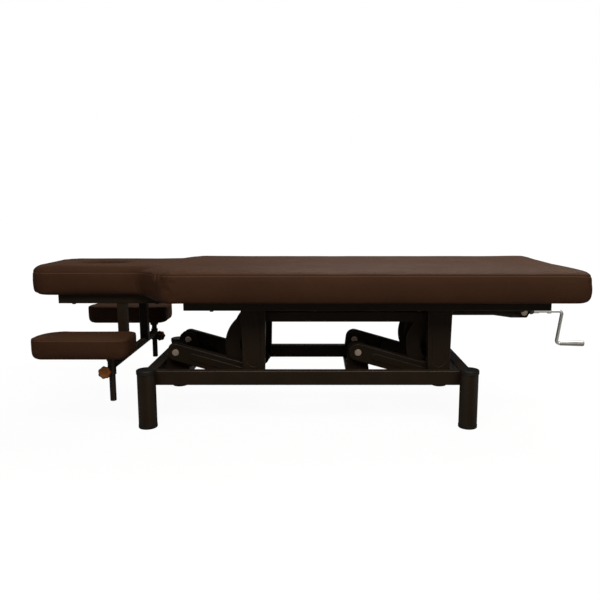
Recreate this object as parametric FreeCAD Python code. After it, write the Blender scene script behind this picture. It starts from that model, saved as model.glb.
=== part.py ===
import FreeCAD, Part
import math
import os

V = FreeCAD.Vector
os.makedirs("parts", exist_ok=True)

# Height-adjustable massage table, lowered. Millimetres, Z up, origin on the floor under the
# middle of the whole length. Minus X is the head end, plus X the crank end.

# top: one long upholstered cushion on a plywood deck
HEAD_END = -1067.0
TOP_LENGTH = 2010.0
TOP_WIDTH = 700.0
TOP_HEIGHT = 574.0
PAD_DEPTH = 110.0
HEAD_WIDTH = 380.0
SHOULDER_HEAD_X = -695.0
SHOULDER_BODY_X = -515.0
HEAD_CORNER = 70.0
FOOT_CORNER = 45.0
PAD_TOP_ROUND = 26.0
PAD_LOW_ROUND = 10.0
PAD_WRAP = 14.0
DECK_RECESS = 6.0
DECK_THICK = 15.0
FACE_HOLE_X = -853.0
FACE_HOLE_LENGTH = 210.0
FACE_HOLE_WIDTH = 112.0
FACE_HOLE_ROUND = 14.0
BOLT_RADIUS = 3.0
BOLT_HEAD = 7.5
BOLT_HEAD_TALL = 4.5
BOLT_SHORT = 4.0
RAIL_BOLTS_A_SIDE = 4
RAIL_BOLT_END = 95.0
HEAD_BOLT_END = 48.0
HEAD_BOLT_BACK = 125.0

# steel top frame of rectangular tube
WALL = 2.0
TUBE_CORNER = 4.0
RAIL_HEAD_INSET = 40.0
RAIL_FOOT_INSET = 113.0
RAIL_SIDE_INSET = 95.0
RAIL_WIDE = 30.0
RAIL_TALL = 46.0
CROSS_WIDE = 40.0
HEAD_RAIL_INSET = 109.0
HEAD_RAIL_SIDE_INSET = 49.0
HEAD_RAIL_SIZE = 34.0
PLUG_FLANGE = 3.0
PLUG_DEPTH = 18.0

# base of rectangular tube on four round legs
LEG_HEAD_X = -615.0
LEG_FOOT_X = 545.0
LEG_Y = 272.0
LEG_RADIUS = 33.0
LEG_WALL = 2.5
BASE_DROP = 359.0
FOOT_SOLE = 12.0
FOOT_STEM = 18.0
FOOT_LIP = 0.8
FOOT_ROUND = 3.0
CAP_TALL = 15.0
CAP_TOP = 6.0
CAP_LIP = 2.0
CAP_ROUND = 4.0
BASE_RAIL_OUTER_Y = 232.0
BASE_RAIL_WIDE = 30.0
BASE_RAIL_TALL = 54.0
CAP_ABOVE_RAIL = 17.0
BASE_END_WIDE = 44.0
BEAM_WIDE = 84.0
BEAM_TALL = 30.0
BEAM_BELOW_RAIL = 24.0

# lifting parallelogram: two arms of one length on base pivots of one height
PIVOT_X = -535.0
PIVOT_ABOVE_BEAM = 74.0
PIVOT_SPAN = 688.0
ARM_LENGTH = 310.0
ARM_REST = -16.0
LIFT = 61.0
LEVER_TIP_X = 29.1

# pressed arms, with the lever plate closing the open side near the upper pivot
ARM_OUTER_Y = 150.0
ARM_DEEP = 27.0
ARM_PLATE = 4.0
ARM_HALF = 33.0
ARM_RIB_HALF = 14.0
RIB_FROM = 66.0
RIB_TO = 52.0
RIB_RAISE = 3.0
LEVER_PLATE = 6.0
LEVER_HALF = 27.0
LEVER_EYE_LIP = 1.5
LEVER_CENTRE_X = 21.0
LEVER_CENTRE_Z = 111.0
LEVER_SWEEP = 132.0
BEAD_RADIUS = 6.0
BEAD_SINK = 2.5
BEAD_FROM = 22.0
BEAD_SWEEP = 74.0
LEVER_FOOT_FROM = 60.0
LEVER_FOOT_TO = 160.0
TIE_RADIUS = 22.0
TIE_WALL = 3.0
SHAFT_RADIUS = 9.0
SHAFT_CAP = 4.0
SHAFT_CAP_LIP = 6.0
SHAFT_CAP_ROUND = 1.5
PIN_RADIUS = 8.0
HEAD_RADIUS = 11.0
HEAD_TALL = 6.0
WASHER = 1.5

# link bars between the two levers
LINK_GAP = 2.0
LINK_DEEP = 10.0
LINK_TALL = 36.0
LINK_PLATE = 3.0
LINK_OVERHANG = 20.0
LINK_CORNER = 7.0

# pressed posts under the top frame
POST_OUTER_Y = 189.0
POST_DEEP = 32.0
POST_PLATE = 4.0
POST_TOP_WIDE = 92.0
POST_LOW_WIDE = 79.0
POST_TOE = 27.5
POST_CHANNEL_HALF = 27.0
POST_BOSS_RADIUS = 26.0
POST_PANEL_GAP = 12.0

# pivot brackets on the base beams
BRACKET_INNER_Y = 84.0
BRACKET_OUTER_Y = 118.0
BRACKET_PLATE = 5.0
BRACKET_WIDE = 88.0
BRACKET_ROUND = 30.0
BUSH_RADIUS = 14.0

# screw drive under the foot end
DRIVE_INSET = 18.0
DRIVE_DROP = 43.3
DRIVE_TUBE_RADIUS = 16.0
DRIVE_TUBE_WALL = 2.5
DRIVE_TUBE_GAP = 58.0
GUIDE_LONG = 30.0
HOUSING_RADIUS = 26.0
HOUSING_LONG = 112.0
HOUSING_FLARE = 42.0
HOUSING_NOSE = 22.0
HOUSING_WALL = 6.0
HOUSING_CHAMFER = 4.0
TRUNNION_RADIUS = 7.0
TRUNNION_SINK = 6.0
DRIVE_CHEEK_Y = 27.5
DRIVE_CHEEK = 5.0
CHEEK_BACK = 44.0
CHEEK_FRONT = 24.0
CHEEK_DROP = 19.0
CHEEK_CORNER = 12.0
SEAT_LIP = 18.0
SCREW_RADIUS = 7.0
SCREW_INSET = 50.0
SCREW_GROOVE = 1.0
SCREW_PITCH = 24.0
PUSH_RADIUS = 12.0
PUSH_WALL = 2.0
PUSH_ROOM = 252.0
NUT_LONG = 40.0
FORK_INNER_Y = 22.0
FORK_PLATE = 6.0
FORK_LONG = 50.0
FORK_BLOCK = 20.0
FORK_HALF = 17.0
FORK_RIM = 10.0
FORK_TOP_GAP = 2.0

# folding crank
JOINT_REACH = 38.0
JOINT_BALL = 13.0
JOINT_CUP = 9.0
JOINT_PIN = 4.0
JOINT_PIN_OUT = 2.5
CRANK_HUB = 30.0
CRANK_SINK = 4.0
CRANK_RADIUS = 6.5
CRANK_REACH = 124.0
CRANK_THROW = 131.0
CRANK_LEAN = 18.0
CRANK_BEND = 12.0
GRIP_RADIUS = 11.6
GRIP_NECK_RADIUS = 8.4
GRIP_NECK_ROUND = 1.0
GRIP_LENGTH = 96.0
GRIP_CAP = 9.0
GRIP_ROUND = 4.0
GRIP_REACH = 93.0
COLLAR_RADIUS = 10.0
COLLAR_FROM = 66.0
COLLAR_LONG = 14.0
COLLAR_ROUND = 2.0

# armrests
ARMREST_SETBACK = 114.0
ARMREST_Y = 294.0
ARMREST_LONG = 348.0
ARMREST_HEAD_REACH = 262.0
ARMREST_WIDE = 150.0
ARMREST_DROP = 191.0
ARMREST_THICK = 63.0
ARMREST_SKIRT = 3.0
ARMREST_WRAP = 10.0
ARMREST_CORNER = 36.0
ARMREST_ROUND = 18.0
ARMREST_FAR_RAISE = 18.0
ARMREST_FAR_SHIFT = 14.0
BOARD_THICK = 10.0
PLATE_THICK = 4.0
PLATE_HEAD_REACH = 90.0
PLATE_FOOT_REACH = 50.0
PLATE_HALF = 35.0
PLATE_CORNER = 12.0
HUB_RADIUS = 17.0
ROD_RADIUS = 11.0
ROD_BELOW = 172.0
ROD_ROUND = 2.5
SLEEVE_RADIUS = 14.5
SLEEVE_DROP = 32.0
SLEEVE_TALL = 48.0
CLAMP_RISE = 11.0
CLAMP_REACH = 19.0
CLAMP_EAR = 8.0
CLAMP_SLOT = 3.0
EAR_RIM = 10.0
EAR_RISE = 12.0
EAR_ROUND = 7.0
HANGER_SIZE = 34.0
SPREADER_RADIUS = 15.0
SPREADER_DROP = 43.0
KNOB_RADIUS = 22.5
KNOB_TALL = 20.0
KNOB_LOBES = 7
KNOB_EDGE = 1.6
KNOB_NECK = 5.0
KNOB_NECK_RADIUS = 7.0
CLAMP_SCREW = 4.0
CLAMP_SCREW_OUT = 6.0

# clearances
RUN = 0.05
TOUCH = 0.02
SOFT = 0.3
SIDE = 0.3
PLUG_GAP = 0.1
FORK_PLAY = 0.4
END_PLAY = 1.0

# derived places
FOOT_END = HEAD_END + TOP_LENGTH
RAIL_HEAD_X = SHOULDER_BODY_X + RAIL_HEAD_INSET
RAIL_FOOT_X = FOOT_END - RAIL_FOOT_INSET
HEAD_RAIL_END_X = HEAD_END + HEAD_RAIL_INSET
PAD_LOW = TOP_HEIGHT - PAD_DEPTH
DECK_UNDERSIDE = PAD_LOW + DECK_RECESS
DECK_TOP = DECK_UNDERSIDE + DECK_THICK
BOLT_TOP = DECK_TOP - BOLT_SHORT
FRAME_LOW = DECK_UNDERSIDE - RAIL_TALL
RAIL_OUTER_Y = TOP_WIDTH / 2 - RAIL_SIDE_INSET
HEAD_RAIL_Y = HEAD_WIDTH / 2 - HEAD_RAIL_SIDE_INSET
RAIL_Y = RAIL_OUTER_Y - RAIL_WIDE / 2
RAIL_INNER_Y = RAIL_OUTER_Y - RAIL_WIDE
HEAD_RAIL_LOW = DECK_UNDERSIDE - HEAD_RAIL_SIZE
HEAD_RAIL_Z = DECK_UNDERSIDE - HEAD_RAIL_SIZE / 2
LEG_HEIGHT = TOP_HEIGHT - BASE_DROP
BASE_RAIL_TOP = LEG_HEIGHT - CAP_ABOVE_RAIL
BEAM_TOP = BASE_RAIL_TOP - BEAM_BELOW_RAIL
PIVOT_Z = BEAM_TOP + PIVOT_ABOVE_BEAM
BASE_RAIL_Y = BASE_RAIL_OUTER_Y - BASE_RAIL_WIDE / 2
BASE_RAIL_Z = BASE_RAIL_TOP - BASE_RAIL_TALL / 2
ARM_INNER_Y = ARM_OUTER_Y - ARM_DEEP
LEVER_INNER_Y = ARM_INNER_Y - LEVER_PLATE
LINK_INNER_Y = ARM_INNER_Y + LINK_GAP
LINK_OUTER_Y = LINK_INNER_Y + LINK_DEEP
POST_INNER_Y = POST_OUTER_Y - POST_DEEP
ARMREST_X = LEG_HEAD_X - ARMREST_SETBACK
ARMREST_LOW = DECK_UNDERSIDE - ARMREST_DROP
ARMREST_TOP = ARMREST_LOW + ARMREST_THICK
ROD_LOW = ARMREST_LOW - ROD_BELOW
SPREADER_Z = ARMREST_LOW - SPREADER_DROP
SLEEVE_LOW = SPREADER_Z - SLEEVE_DROP
CLAMP_Z = SLEEVE_LOW + CLAMP_RISE
DRIVE_X = RAIL_FOOT_X - DRIVE_INSET
DRIVE_Z = FRAME_LOW - DRIVE_DROP
DRIVE_TUBE_FOOT_X = DRIVE_X - HOUSING_LONG
HOUSING_FLARE_X = DRIVE_X - HOUSING_FLARE
HOUSING_END_X = DRIVE_X + HOUSING_NOSE
HOUSING_WALL_X = DRIVE_X - HOUSING_WALL
PUSH_FOOT_X = DRIVE_X - PUSH_ROOM
JOINT_X = DRIVE_X + JOINT_REACH
CRANK_BEND_X = JOINT_X + CRANK_REACH
GRIP_END_X = CRANK_BEND_X + GRIP_REACH
NEAR_SIDE = -1
FAR_SIDE = 1


def turned(point, centre, degrees):
    """A point of the side view turned counter-clockwise, as seen with X right and Z up."""
    angle = math.radians(degrees)
    x = point[0] - centre[0]
    z = point[1] - centre[1]
    return (centre[0] + x * math.cos(angle) - z * math.sin(angle),
            centre[1] + x * math.sin(angle) + z * math.cos(angle))


def along(point, length, degrees):
    """The point at a length and angle from another in the side view."""
    return turned((point[0] + length, point[1]), point, degrees)


BASE_PIVOTS = [(PIVOT_X, PIVOT_Z), (PIVOT_X + PIVOT_SPAN, PIVOT_Z)]
TOP_PIVOTS = [along(p, ARM_LENGTH, ARM_REST) for p in BASE_PIVOTS]
LEVER_PIVOTS = [(p[0] + LEVER_TIP_X, DRIVE_Z) for p in TOP_PIVOTS]
LEVER_RISE = DRIVE_Z - TOP_PIVOTS[0][1]
LEVER_LENGTH = math.hypot(LEVER_TIP_X, LEVER_RISE)
LEVER_SPREAD = math.degrees(math.atan2(LEVER_RISE, LEVER_TIP_X)) - ARM_REST
DRIVE_PIVOT = (DRIVE_X, DRIVE_Z)
DRIVE_TUBE_HEAD_X = LEVER_PIVOTS[0][0] + DRIVE_TUBE_GAP
SCREW_HEAD_X = DRIVE_TUBE_HEAD_X + SCREW_INSET

PLANES = {
    "xy": lambda a, b, level: V(a, b, level),
    "xz": lambda a, b, level: V(a, level, b),
    "yz": lambda a, b, level: V(level, a, b),
}
NORMALS = {"xy": V(0, 0, 1), "xz": V(0, 1, 0), "yz": V(1, 0, 0)}


def rounded(points, radii, plane, level):
    """Closed wire through points of a plane, each corner rounded by its own radius."""
    put = PLANES[plane]
    count = len(points)
    corners = []
    for i in range(count):
        p = V(points[i][0], points[i][1], 0)
        radius = radii[i]
        if radius <= 0:
            corners.append((p, None, p))
            continue
        back = (V(points[i - 1][0], points[i - 1][1], 0) - p).normalize()
        ahead = points[(i + 1) % count]
        ahead = (V(ahead[0], ahead[1], 0) - p).normalize()
        half = back.getAngle(ahead) / 2
        middle = (back + ahead).normalize()
        reach = radius / math.tan(half)
        bow = p + middle * (radius / math.sin(half) - radius)
        corners.append((p + back * reach, bow, p + ahead * reach))
    edges = []
    for i in range(count):
        start, bow, end = corners[i]
        following = corners[(i + 1) % count][0]
        if bow is not None:
            arc = Part.Arc(put(start.x, start.y, level), put(bow.x, bow.y, level), put(end.x, end.y, level))
            edges.append(arc.toShape())
        if end.distanceToPoint(following) > 1e-6:
            edges.append(Part.makeLine(put(end.x, end.y, level), put(following.x, following.y, level)))
    return Part.Wire(edges)


def prism(points, radii, plane, start, end):
    """Solid of a rounded polygon between two levels of a plane's own axis."""
    if not isinstance(radii, list):
        radii = [radii] * len(points)
    face = Part.Face(rounded(points, radii, plane, start))
    return face.extrude(NORMALS[plane] * (end - start))


def box(x0, x1, y0, y1, z0, z1):
    return Part.makeBox(x1 - x0, y1 - y0, z1 - z0, V(x0, y0, z0))


def round_bar(plane, at, radius, start, end):
    """Cylinder along a plane's own axis, at a point of that plane."""
    return Part.makeCylinder(radius, end - start, PLANES[plane](at[0], at[1], start), NORMALS[plane])


def band(p, q, half, start, end):
    """Round-ended strip between two points of the side view, across the table from start to end."""
    run = V(q[0] - p[0], 0, q[1] - p[1]).normalize()
    side = V(-run.z, 0, run.x) * half
    tip = run * half
    a = V(p[0], start, p[1])
    b = V(q[0], start, q[1])
    edges = [
        Part.makeLine(a + side, b + side),
        Part.Arc(b + side, b + tip, b - side).toShape(),
        Part.makeLine(b - side, a - side),
        Part.Arc(a - side, a - tip, a + side).toShape(),
    ]
    return Part.Face(Part.Wire(edges)).extrude(V(0, end - start, 0))


def hollow(plane, at, wide, tall, start, end, corner=TUBE_CORNER, wall=WALL):
    """Rectangular tube along a plane's own axis, centred on a point of that plane."""
    def rectangle(inset):
        a = wide / 2 - inset
        b = tall / 2 - inset
        x, z = at
        return [(x - a, z - b), (x + a, z - b), (x + a, z + b), (x - a, z + b)]
    outer = prism(rectangle(0), corner, plane, start, end)
    return outer.cut(prism(rectangle(wall), corner - wall, plane, start, end))


def pipe(plane, at, radius, wall, start, end):
    outer = round_bar(plane, at, radius, start, end)
    return outer.cut(round_bar(plane, at, radius - wall, start, end))


def far(shape):
    """The same piece on the far side of the table."""
    return shape.mirror(V(0, 0, 0), V(0, 1, 0))


def level_edges(shape, z):
    return [e for e in shape.Edges if abs(e.BoundBox.ZMin - z) < 0.01 and abs(e.BoundBox.ZMax - z) < 0.01]


def side_edges(shape, y):
    return [e for e in shape.Edges if abs(e.BoundBox.YMin - y) < 0.01 and abs(e.BoundBox.YMax - y) < 0.01]


def hexagon(plane, at, across, start, end):
    size = across / math.sqrt(3)
    points = [(at[0] + size * math.cos(math.radians(60 * i)), at[1] + size * math.sin(math.radians(60 * i)))
              for i in range(6)]
    return prism(points, 0, plane, start, end)


def save(name, shapes):
    group = shapes if isinstance(shapes, list) else [shapes]
    solids = [s for shape in group for s in shape.Solids]
    whole = solids[0] if len(solids) == 1 else Part.makeCompound(solids)
    whole.exportStep("parts/" + name + ".step")


# cushion and deck

def planform(inset, z):
    """Outline of the top: a full-width body that narrows by an S-curve to the head section."""
    body = TOP_WIDTH / 2
    head = HEAD_WIDTH / 2
    rise = body - head
    length = SHOULDER_BODY_X - SHOULDER_HEAD_X
    turn = 2 * math.atan2(rise, length)
    bend = length / (2 * math.sin(turn))
    hollow_bend = bend + inset
    full_bend = bend - inset
    hollow_at = (SHOULDER_HEAD_X, head + bend)
    full_at = (SHOULDER_BODY_X, body - bend)

    def arc(centre, radius, start, end):
        angles = [math.radians(a) for a in (start, (start + end) / 2, end)]
        return [(centre[0] + radius * math.cos(a), centre[1] + radius * math.sin(a)) for a in angles]

    turn = math.degrees(turn)
    head_at = (HEAD_END + HEAD_CORNER, head - HEAD_CORNER)
    foot_at = (FOOT_END - FOOT_CORNER, body - FOOT_CORNER)
    curves = [
        arc(head_at, HEAD_CORNER - inset, 180, 90),
        arc(hollow_at, hollow_bend, -90, -90 + turn),
        arc(full_at, full_bend, 90 + turn, 90),
        arc(foot_at, FOOT_CORNER - inset, 90, 0),
    ]
    mirrored = [[(x, -y) for x, y in reversed(curve)] for curve in reversed(curves)]
    loop = curves + mirrored
    edges = []
    for i, curve in enumerate(loop):
        a, b, c = [V(x, y, z) for x, y in curve]
        edges.append(Part.Arc(a, b, c).toShape())
        following = loop[(i + 1) % len(loop)][0]
        following = V(following[0], following[1], z)
        if c.distanceToPoint(following) > 1e-6:
            edges.append(Part.makeLine(c, following))
    return Part.Wire(edges)


def slab(inset, low, high):
    return Part.Face(planform(inset, low)).extrude(V(0, 0, high - low))


def oval(grow, low, high):
    """The face opening, an upright elliptical shaft."""
    ring = Part.Ellipse(V(FACE_HOLE_X, 0, low), FACE_HOLE_LENGTH / 2 + grow, FACE_HOLE_WIDTH / 2 + grow)
    return Part.Face(Part.Wire(ring.toShape())).extrude(V(0, 0, high - low))


cushion = slab(0, PAD_LOW, TOP_HEIGHT)
cushion = cushion.makeFillet(PAD_TOP_ROUND, level_edges(cushion, TOP_HEIGHT))
cushion = cushion.makeFillet(PAD_LOW_ROUND, level_edges(cushion, PAD_LOW))
cushion = cushion.cut(slab(PAD_WRAP - SOFT, PAD_LOW, DECK_TOP + SOFT))
cushion = cushion.cut(oval(0, PAD_LOW, TOP_HEIGHT))
rim = [e for e in level_edges(cushion, TOP_HEIGHT) if abs(e.BoundBox.Center.x - FACE_HOLE_X) < 1
       and e.BoundBox.XLength < FACE_HOLE_LENGTH + 1]
cushion = cushion.makeFillet(FACE_HOLE_ROUND, rim)
save("cushion", cushion)

bolt_span = RAIL_FOOT_X - RAIL_HEAD_X - 2 * RAIL_BOLT_END
bolt_step = bolt_span / (RAIL_BOLTS_A_SIDE - 1)
rail_bolt_x = [RAIL_HEAD_X + RAIL_BOLT_END + bolt_step * i for i in range(RAIL_BOLTS_A_SIDE)]
head_bolt_x = [HEAD_RAIL_END_X + HEAD_BOLT_END, RAIL_HEAD_X - HEAD_BOLT_BACK]
RAIL_BOLTS = [(x, side * RAIL_Y) for x in rail_bolt_x for side in (NEAR_SIDE, FAR_SIDE)]
HEAD_BOLTS = [(x, side * HEAD_RAIL_Y) for x in head_bolt_x for side in (NEAR_SIDE, FAR_SIDE)]


def bolt_holes(places):
    return Part.makeCompound([round_bar("xy", p, BOLT_RADIUS + TOUCH, 0, BOLT_TOP) for p in places])


def bolt(place, low):
    head = Part.makeSphere(BOLT_HEAD, V(place[0], place[1], low))
    x, y = place
    room = box(x - BOLT_HEAD, x + BOLT_HEAD, y - BOLT_HEAD, y + BOLT_HEAD, low - BOLT_HEAD_TALL, low)
    head = head.common(room)
    return head.fuse(round_bar("xy", place, BOLT_RADIUS, low, BOLT_TOP))


all_bolts = bolt_holes(RAIL_BOLTS + HEAD_BOLTS)
deck = slab(PAD_WRAP, DECK_UNDERSIDE, DECK_TOP)
deck = deck.cut(oval(SOFT, DECK_UNDERSIDE, DECK_TOP)).cut(all_bolts)
save("deck", deck)
save("deck_bolts", [bolt(p, FRAME_LOW) for p in RAIL_BOLTS] + [bolt(p, HEAD_RAIL_LOW) for p in HEAD_BOLTS])

# top frame

rail_z = DECK_UNDERSIDE - RAIL_TALL / 2
rail = hollow("yz", (-RAIL_Y, rail_z), RAIL_WIDE, RAIL_TALL, RAIL_HEAD_X, RAIL_FOOT_X)
save("top_rail_near", rail.cut(all_bolts))
save("top_rail_far", far(rail).cut(all_bolts))


def top_cross(x, wide):
    return hollow("xz", (x, rail_z), wide, RAIL_TALL, -RAIL_INNER_Y, RAIL_INNER_Y)


save("top_cross_head", top_cross(RAIL_HEAD_X + CROSS_WIDE / 2, CROSS_WIDE))
save("top_cross_foot", top_cross(RAIL_FOOT_X - CROSS_WIDE / 2, CROSS_WIDE))
save("top_beam_head", top_cross(TOP_PIVOTS[0][0], POST_TOP_WIDE))
save("top_beam_foot", top_cross(TOP_PIVOTS[1][0], POST_TOP_WIDE))

head_at = (-HEAD_RAIL_Y, HEAD_RAIL_Z)
head_rail = hollow("yz", head_at, HEAD_RAIL_SIZE, HEAD_RAIL_SIZE, HEAD_RAIL_END_X, RAIL_HEAD_X)
save("head_rail_near", head_rail.cut(all_bolts))
save("head_rail_far", far(head_rail).cut(all_bolts))
head_gap = HEAD_RAIL_Y - HEAD_RAIL_SIZE / 2
head_cross_x = HEAD_RAIL_END_X + HEAD_RAIL_SIZE / 2
head_at = (head_cross_x, HEAD_RAIL_Z)
save("head_cross", hollow("xz", head_at, HEAD_RAIL_SIZE, HEAD_RAIL_SIZE, -head_gap, head_gap))


def plug(y, z, wide, tall, mouth, outward):
    """Plastic plug in an open tube end: a flange outside and a hollow stem inside."""
    a = wide / 2
    b = tall / 2
    edge = TUBE_CORNER
    corners = [(y - a, z - b), (y + a, z - b), (y + a, z + b), (y - a, z + b)]
    low, high = sorted((mouth, mouth + outward * PLUG_FLANGE))
    flange = prism(corners, edge, "yz", low, high)
    gap = WALL + PLUG_GAP
    a -= gap
    b -= gap
    corners = [(y - a, z - b), (y + a, z - b), (y + a, z + b), (y - a, z + b)]
    low, high = sorted((mouth, mouth - outward * PLUG_DEPTH))
    return flange.fuse(prism(corners, edge - WALL, "yz", low, high))


plugs = []
for side in (NEAR_SIDE, FAR_SIDE):
    plugs.append(plug(side * RAIL_Y, rail_z, RAIL_WIDE, RAIL_TALL, RAIL_FOOT_X, 1))
    plugs.append(plug(side * RAIL_Y, rail_z, RAIL_WIDE, RAIL_TALL, RAIL_HEAD_X, -1))
    plugs.append(plug(side * HEAD_RAIL_Y, HEAD_RAIL_Z, HEAD_RAIL_SIZE, HEAD_RAIL_SIZE, HEAD_RAIL_END_X, -1))
save("tube_plugs", plugs)

# posts: pressed channels that hang from the beams, with a sunk panel and a boss at the pivot


def post(pivot):
    x, z = pivot
    top = POST_TOP_WIDE / 2
    low = POST_LOW_WIDE / 2

    def outline(inset):
        t = top - inset
        b = low - inset
        foot = z - POST_TOE + inset
        return [(x - b, foot), (x + b, foot), (x + t, FRAME_LOW - inset), (x - t, FRAME_LOW - inset)]

    outer = -POST_OUTER_Y
    web = outer + POST_PLATE
    radius = low * 0.9
    body = prism(outline(0), [radius, radius, 0, 0], "xz", outer, -POST_INNER_Y)
    bends = [e for e in side_edges(body, outer) if e.BoundBox.ZMin < FRAME_LOW - POST_PLATE]
    body = body.makeFillet(POST_PLATE, bends)
    inner = radius - POST_PLATE
    radii = [inner, inner, POST_PLATE / 2, POST_PLATE / 2]
    body = body.cut(prism(outline(POST_PLATE), radii, "xz", web, -POST_INNER_Y))
    panel_low = (x, z + POST_BOSS_RADIUS + POST_CHANNEL_HALF + POST_PANEL_GAP)
    panel_high = (x, FRAME_LOW - POST_CHANNEL_HALF - POST_PANEL_GAP)
    back = band(panel_low, panel_high, POST_CHANNEL_HALF + RIB_RAISE, web, web + RIB_RAISE)
    sunk = band(panel_low, panel_high, POST_CHANNEL_HALF, outer, outer + RIB_RAISE)
    sunk = sunk.makeChamfer(RIB_RAISE * 0.87, side_edges(sunk, outer + RIB_RAISE))
    body = body.fuse(back).cut(sunk)
    boss = round_bar("xz", pivot, POST_BOSS_RADIUS, outer - RIB_RAISE, outer)
    boss = boss.makeChamfer(RIB_RAISE * 0.87, side_edges(boss, outer - RIB_RAISE))
    hole = round_bar("xz", pivot, SHAFT_RADIUS + RUN, outer - RIB_RAISE, web)
    return body.fuse(boss).cut(hole).removeSplitter()


for name, pivot in zip(("head", "foot"), TOP_PIVOTS):
    piece = post(pivot)
    save("post_" + name + "_near", piece)
    save("post_" + name + "_far", far(piece))

# arms: pressed channels, each with its gooseneck lever plate welded over the open side


def arm(base, pivot, tip):
    outer = -ARM_OUTER_Y
    web = outer + ARM_PLATE
    inner = -ARM_INNER_Y
    body = band(base, pivot, ARM_HALF, outer, inner)
    body = body.makeFillet(ARM_PLATE, side_edges(body, outer))
    body = body.cut(band(base, pivot, ARM_HALF - ARM_PLATE, web, inner))
    rib_from = along(base, RIB_FROM, ARM_REST)
    rib_to = along(pivot, -RIB_TO, ARM_REST)
    rib = band(rib_from, rib_to, ARM_RIB_HALF, outer - RIB_RAISE, outer)
    rib = rib.makeFillet(RIB_RAISE * 0.87, side_edges(rib, outer - RIB_RAISE))
    groove = band(rib_from, rib_to, ARM_RIB_HALF - RIB_RAISE, web - RIB_RAISE, web)
    body = body.fuse(rib).cut(groove)
    body = body.cut(round_bar("xz", base, PIN_RADIUS + RUN, outer, web))
    body = body.cut(round_bar("xz", pivot, SHAFT_RADIUS + TOUCH, outer, web))
    centre = (pivot[0] + LEVER_CENTRE_X, pivot[1] + LEVER_CENTRE_Z)
    reach = math.hypot(tip[0] - centre[0], tip[1] - centre[1])
    start = math.degrees(math.atan2(tip[1] - centre[1], tip[0] - centre[0]))
    neck = Part.makeCylinder(reach + LEVER_HALF, LEVER_PLATE, V(0, 0, 0), V(0, 0, 1), LEVER_SWEEP)
    neck = neck.cut(Part.makeCylinder(reach - LEVER_HALF, LEVER_PLATE, V(0, 0, 0)))
    neck.rotate(V(0, 0, 0), V(0, 0, 1), start)
    neck.rotate(V(0, 0, 0), V(1, 0, 0), 90)
    neck.translate(V(centre[0], inner + LEVER_PLATE, centre[1]))
    foot = band(along(pivot, -LEVER_FOOT_FROM, ARM_REST), along(pivot, -LEVER_FOOT_TO, ARM_REST), ARM_HALF,
                inner, inner + LEVER_PLATE)
    eye = round_bar("xz", tip, LEVER_HALF + LEVER_EYE_LIP, inner, inner + LEVER_PLATE)
    lever = neck.fuse([foot, eye]).removeSplitter()
    bead = Part.makeTorus(reach, BEAD_RADIUS, V(0, 0, 0), V(0, 0, 1), -180, 180, BEAD_SWEEP)
    bead.rotate(V(0, 0, 0), V(0, 0, 1), start + BEAD_FROM)
    bead.rotate(V(0, 0, 0), V(1, 0, 0), 90)
    bead.translate(V(centre[0], inner + LEVER_PLATE - BEAD_SINK, centre[1]))
    wide = 2 * reach
    room = box(centre[0] - wide, centre[0] + wide, inner + LEVER_PLATE / 2, inner + LEVER_PLATE + BEAD_RADIUS,
               centre[1] - wide, centre[1] + wide)
    lever = lever.fuse(bead.common(room))
    lever = lever.cut(round_bar("xz", tip, PIN_RADIUS + TOUCH, inner, inner + LEVER_PLATE))
    return body.fuse(lever)


for name, base, pivot, tip in zip(("head", "foot"), BASE_PIVOTS, TOP_PIVOTS, LEVER_PIVOTS):
    piece = arm(base, pivot, tip)
    save(name + "_arm_near", piece)
    save(name + "_arm_far", far(piece))
    tie_end = ARM_OUTER_Y - ARM_PLATE
    save(name + "_arm_tie", pipe("xz", pivot, TIE_RADIUS, TIE_WALL, -tie_end, tie_end))
    end = POST_OUTER_Y + RIB_RAISE
    shaft = round_bar("xz", pivot, SHAFT_RADIUS, -end - SIDE, end + SIDE)
    for side in (NEAR_SIDE, FAR_SIDE):
        face = end + SIDE + SHAFT_CAP
        low, high = sorted((side * (end + SIDE), side * face))
        cap = round_bar("xz", pivot, SHAFT_RADIUS + SHAFT_CAP_LIP, low, high)
        shaft = shaft.fuse(cap.makeFillet(SHAFT_CAP_ROUND, side_edges(cap, side * face)))
    save(name + "_arm_shaft", shaft)

# link bars: shallow channels from lever to lever


def link():
    ends = [(LEVER_PIVOTS[0][0] - LINK_OVERHANG), (LEVER_PIVOTS[1][0] + LINK_OVERHANG)]
    half = LINK_TALL / 2

    def outline(inset):
        h = half - inset
        a = ends[0] + inset
        b = ends[1] - inset
        return [(a, DRIVE_Z - h), (b, DRIVE_Z - h), (b, DRIVE_Z + h), (a, DRIVE_Z + h)]

    body = prism(outline(0), LINK_CORNER, "xz", -LINK_OUTER_Y, -LINK_INNER_Y)
    web = -LINK_OUTER_Y + LINK_PLATE
    body = body.cut(prism(outline(LINK_PLATE), LINK_CORNER - LINK_PLATE, "xz", web, -LINK_INNER_Y))
    for pivot in LEVER_PIVOTS:
        body = body.cut(round_bar("xz", pivot, PIN_RADIUS + RUN, -LINK_OUTER_Y, -LINK_INNER_Y))
    return body


bar = link()
save("link_bars", [bar, far(bar)])


def pin_head(pivot, face, outward):
    low, high = sorted((face, face + outward * HEAD_TALL))
    washer_low, washer_high = sorted((face, face + outward * WASHER))
    head = hexagon("xz", pivot, HEAD_RADIUS * 1.7, low, high)
    return head.fuse(round_bar("xz", pivot, HEAD_RADIUS + WASHER, washer_low, washer_high))


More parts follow.
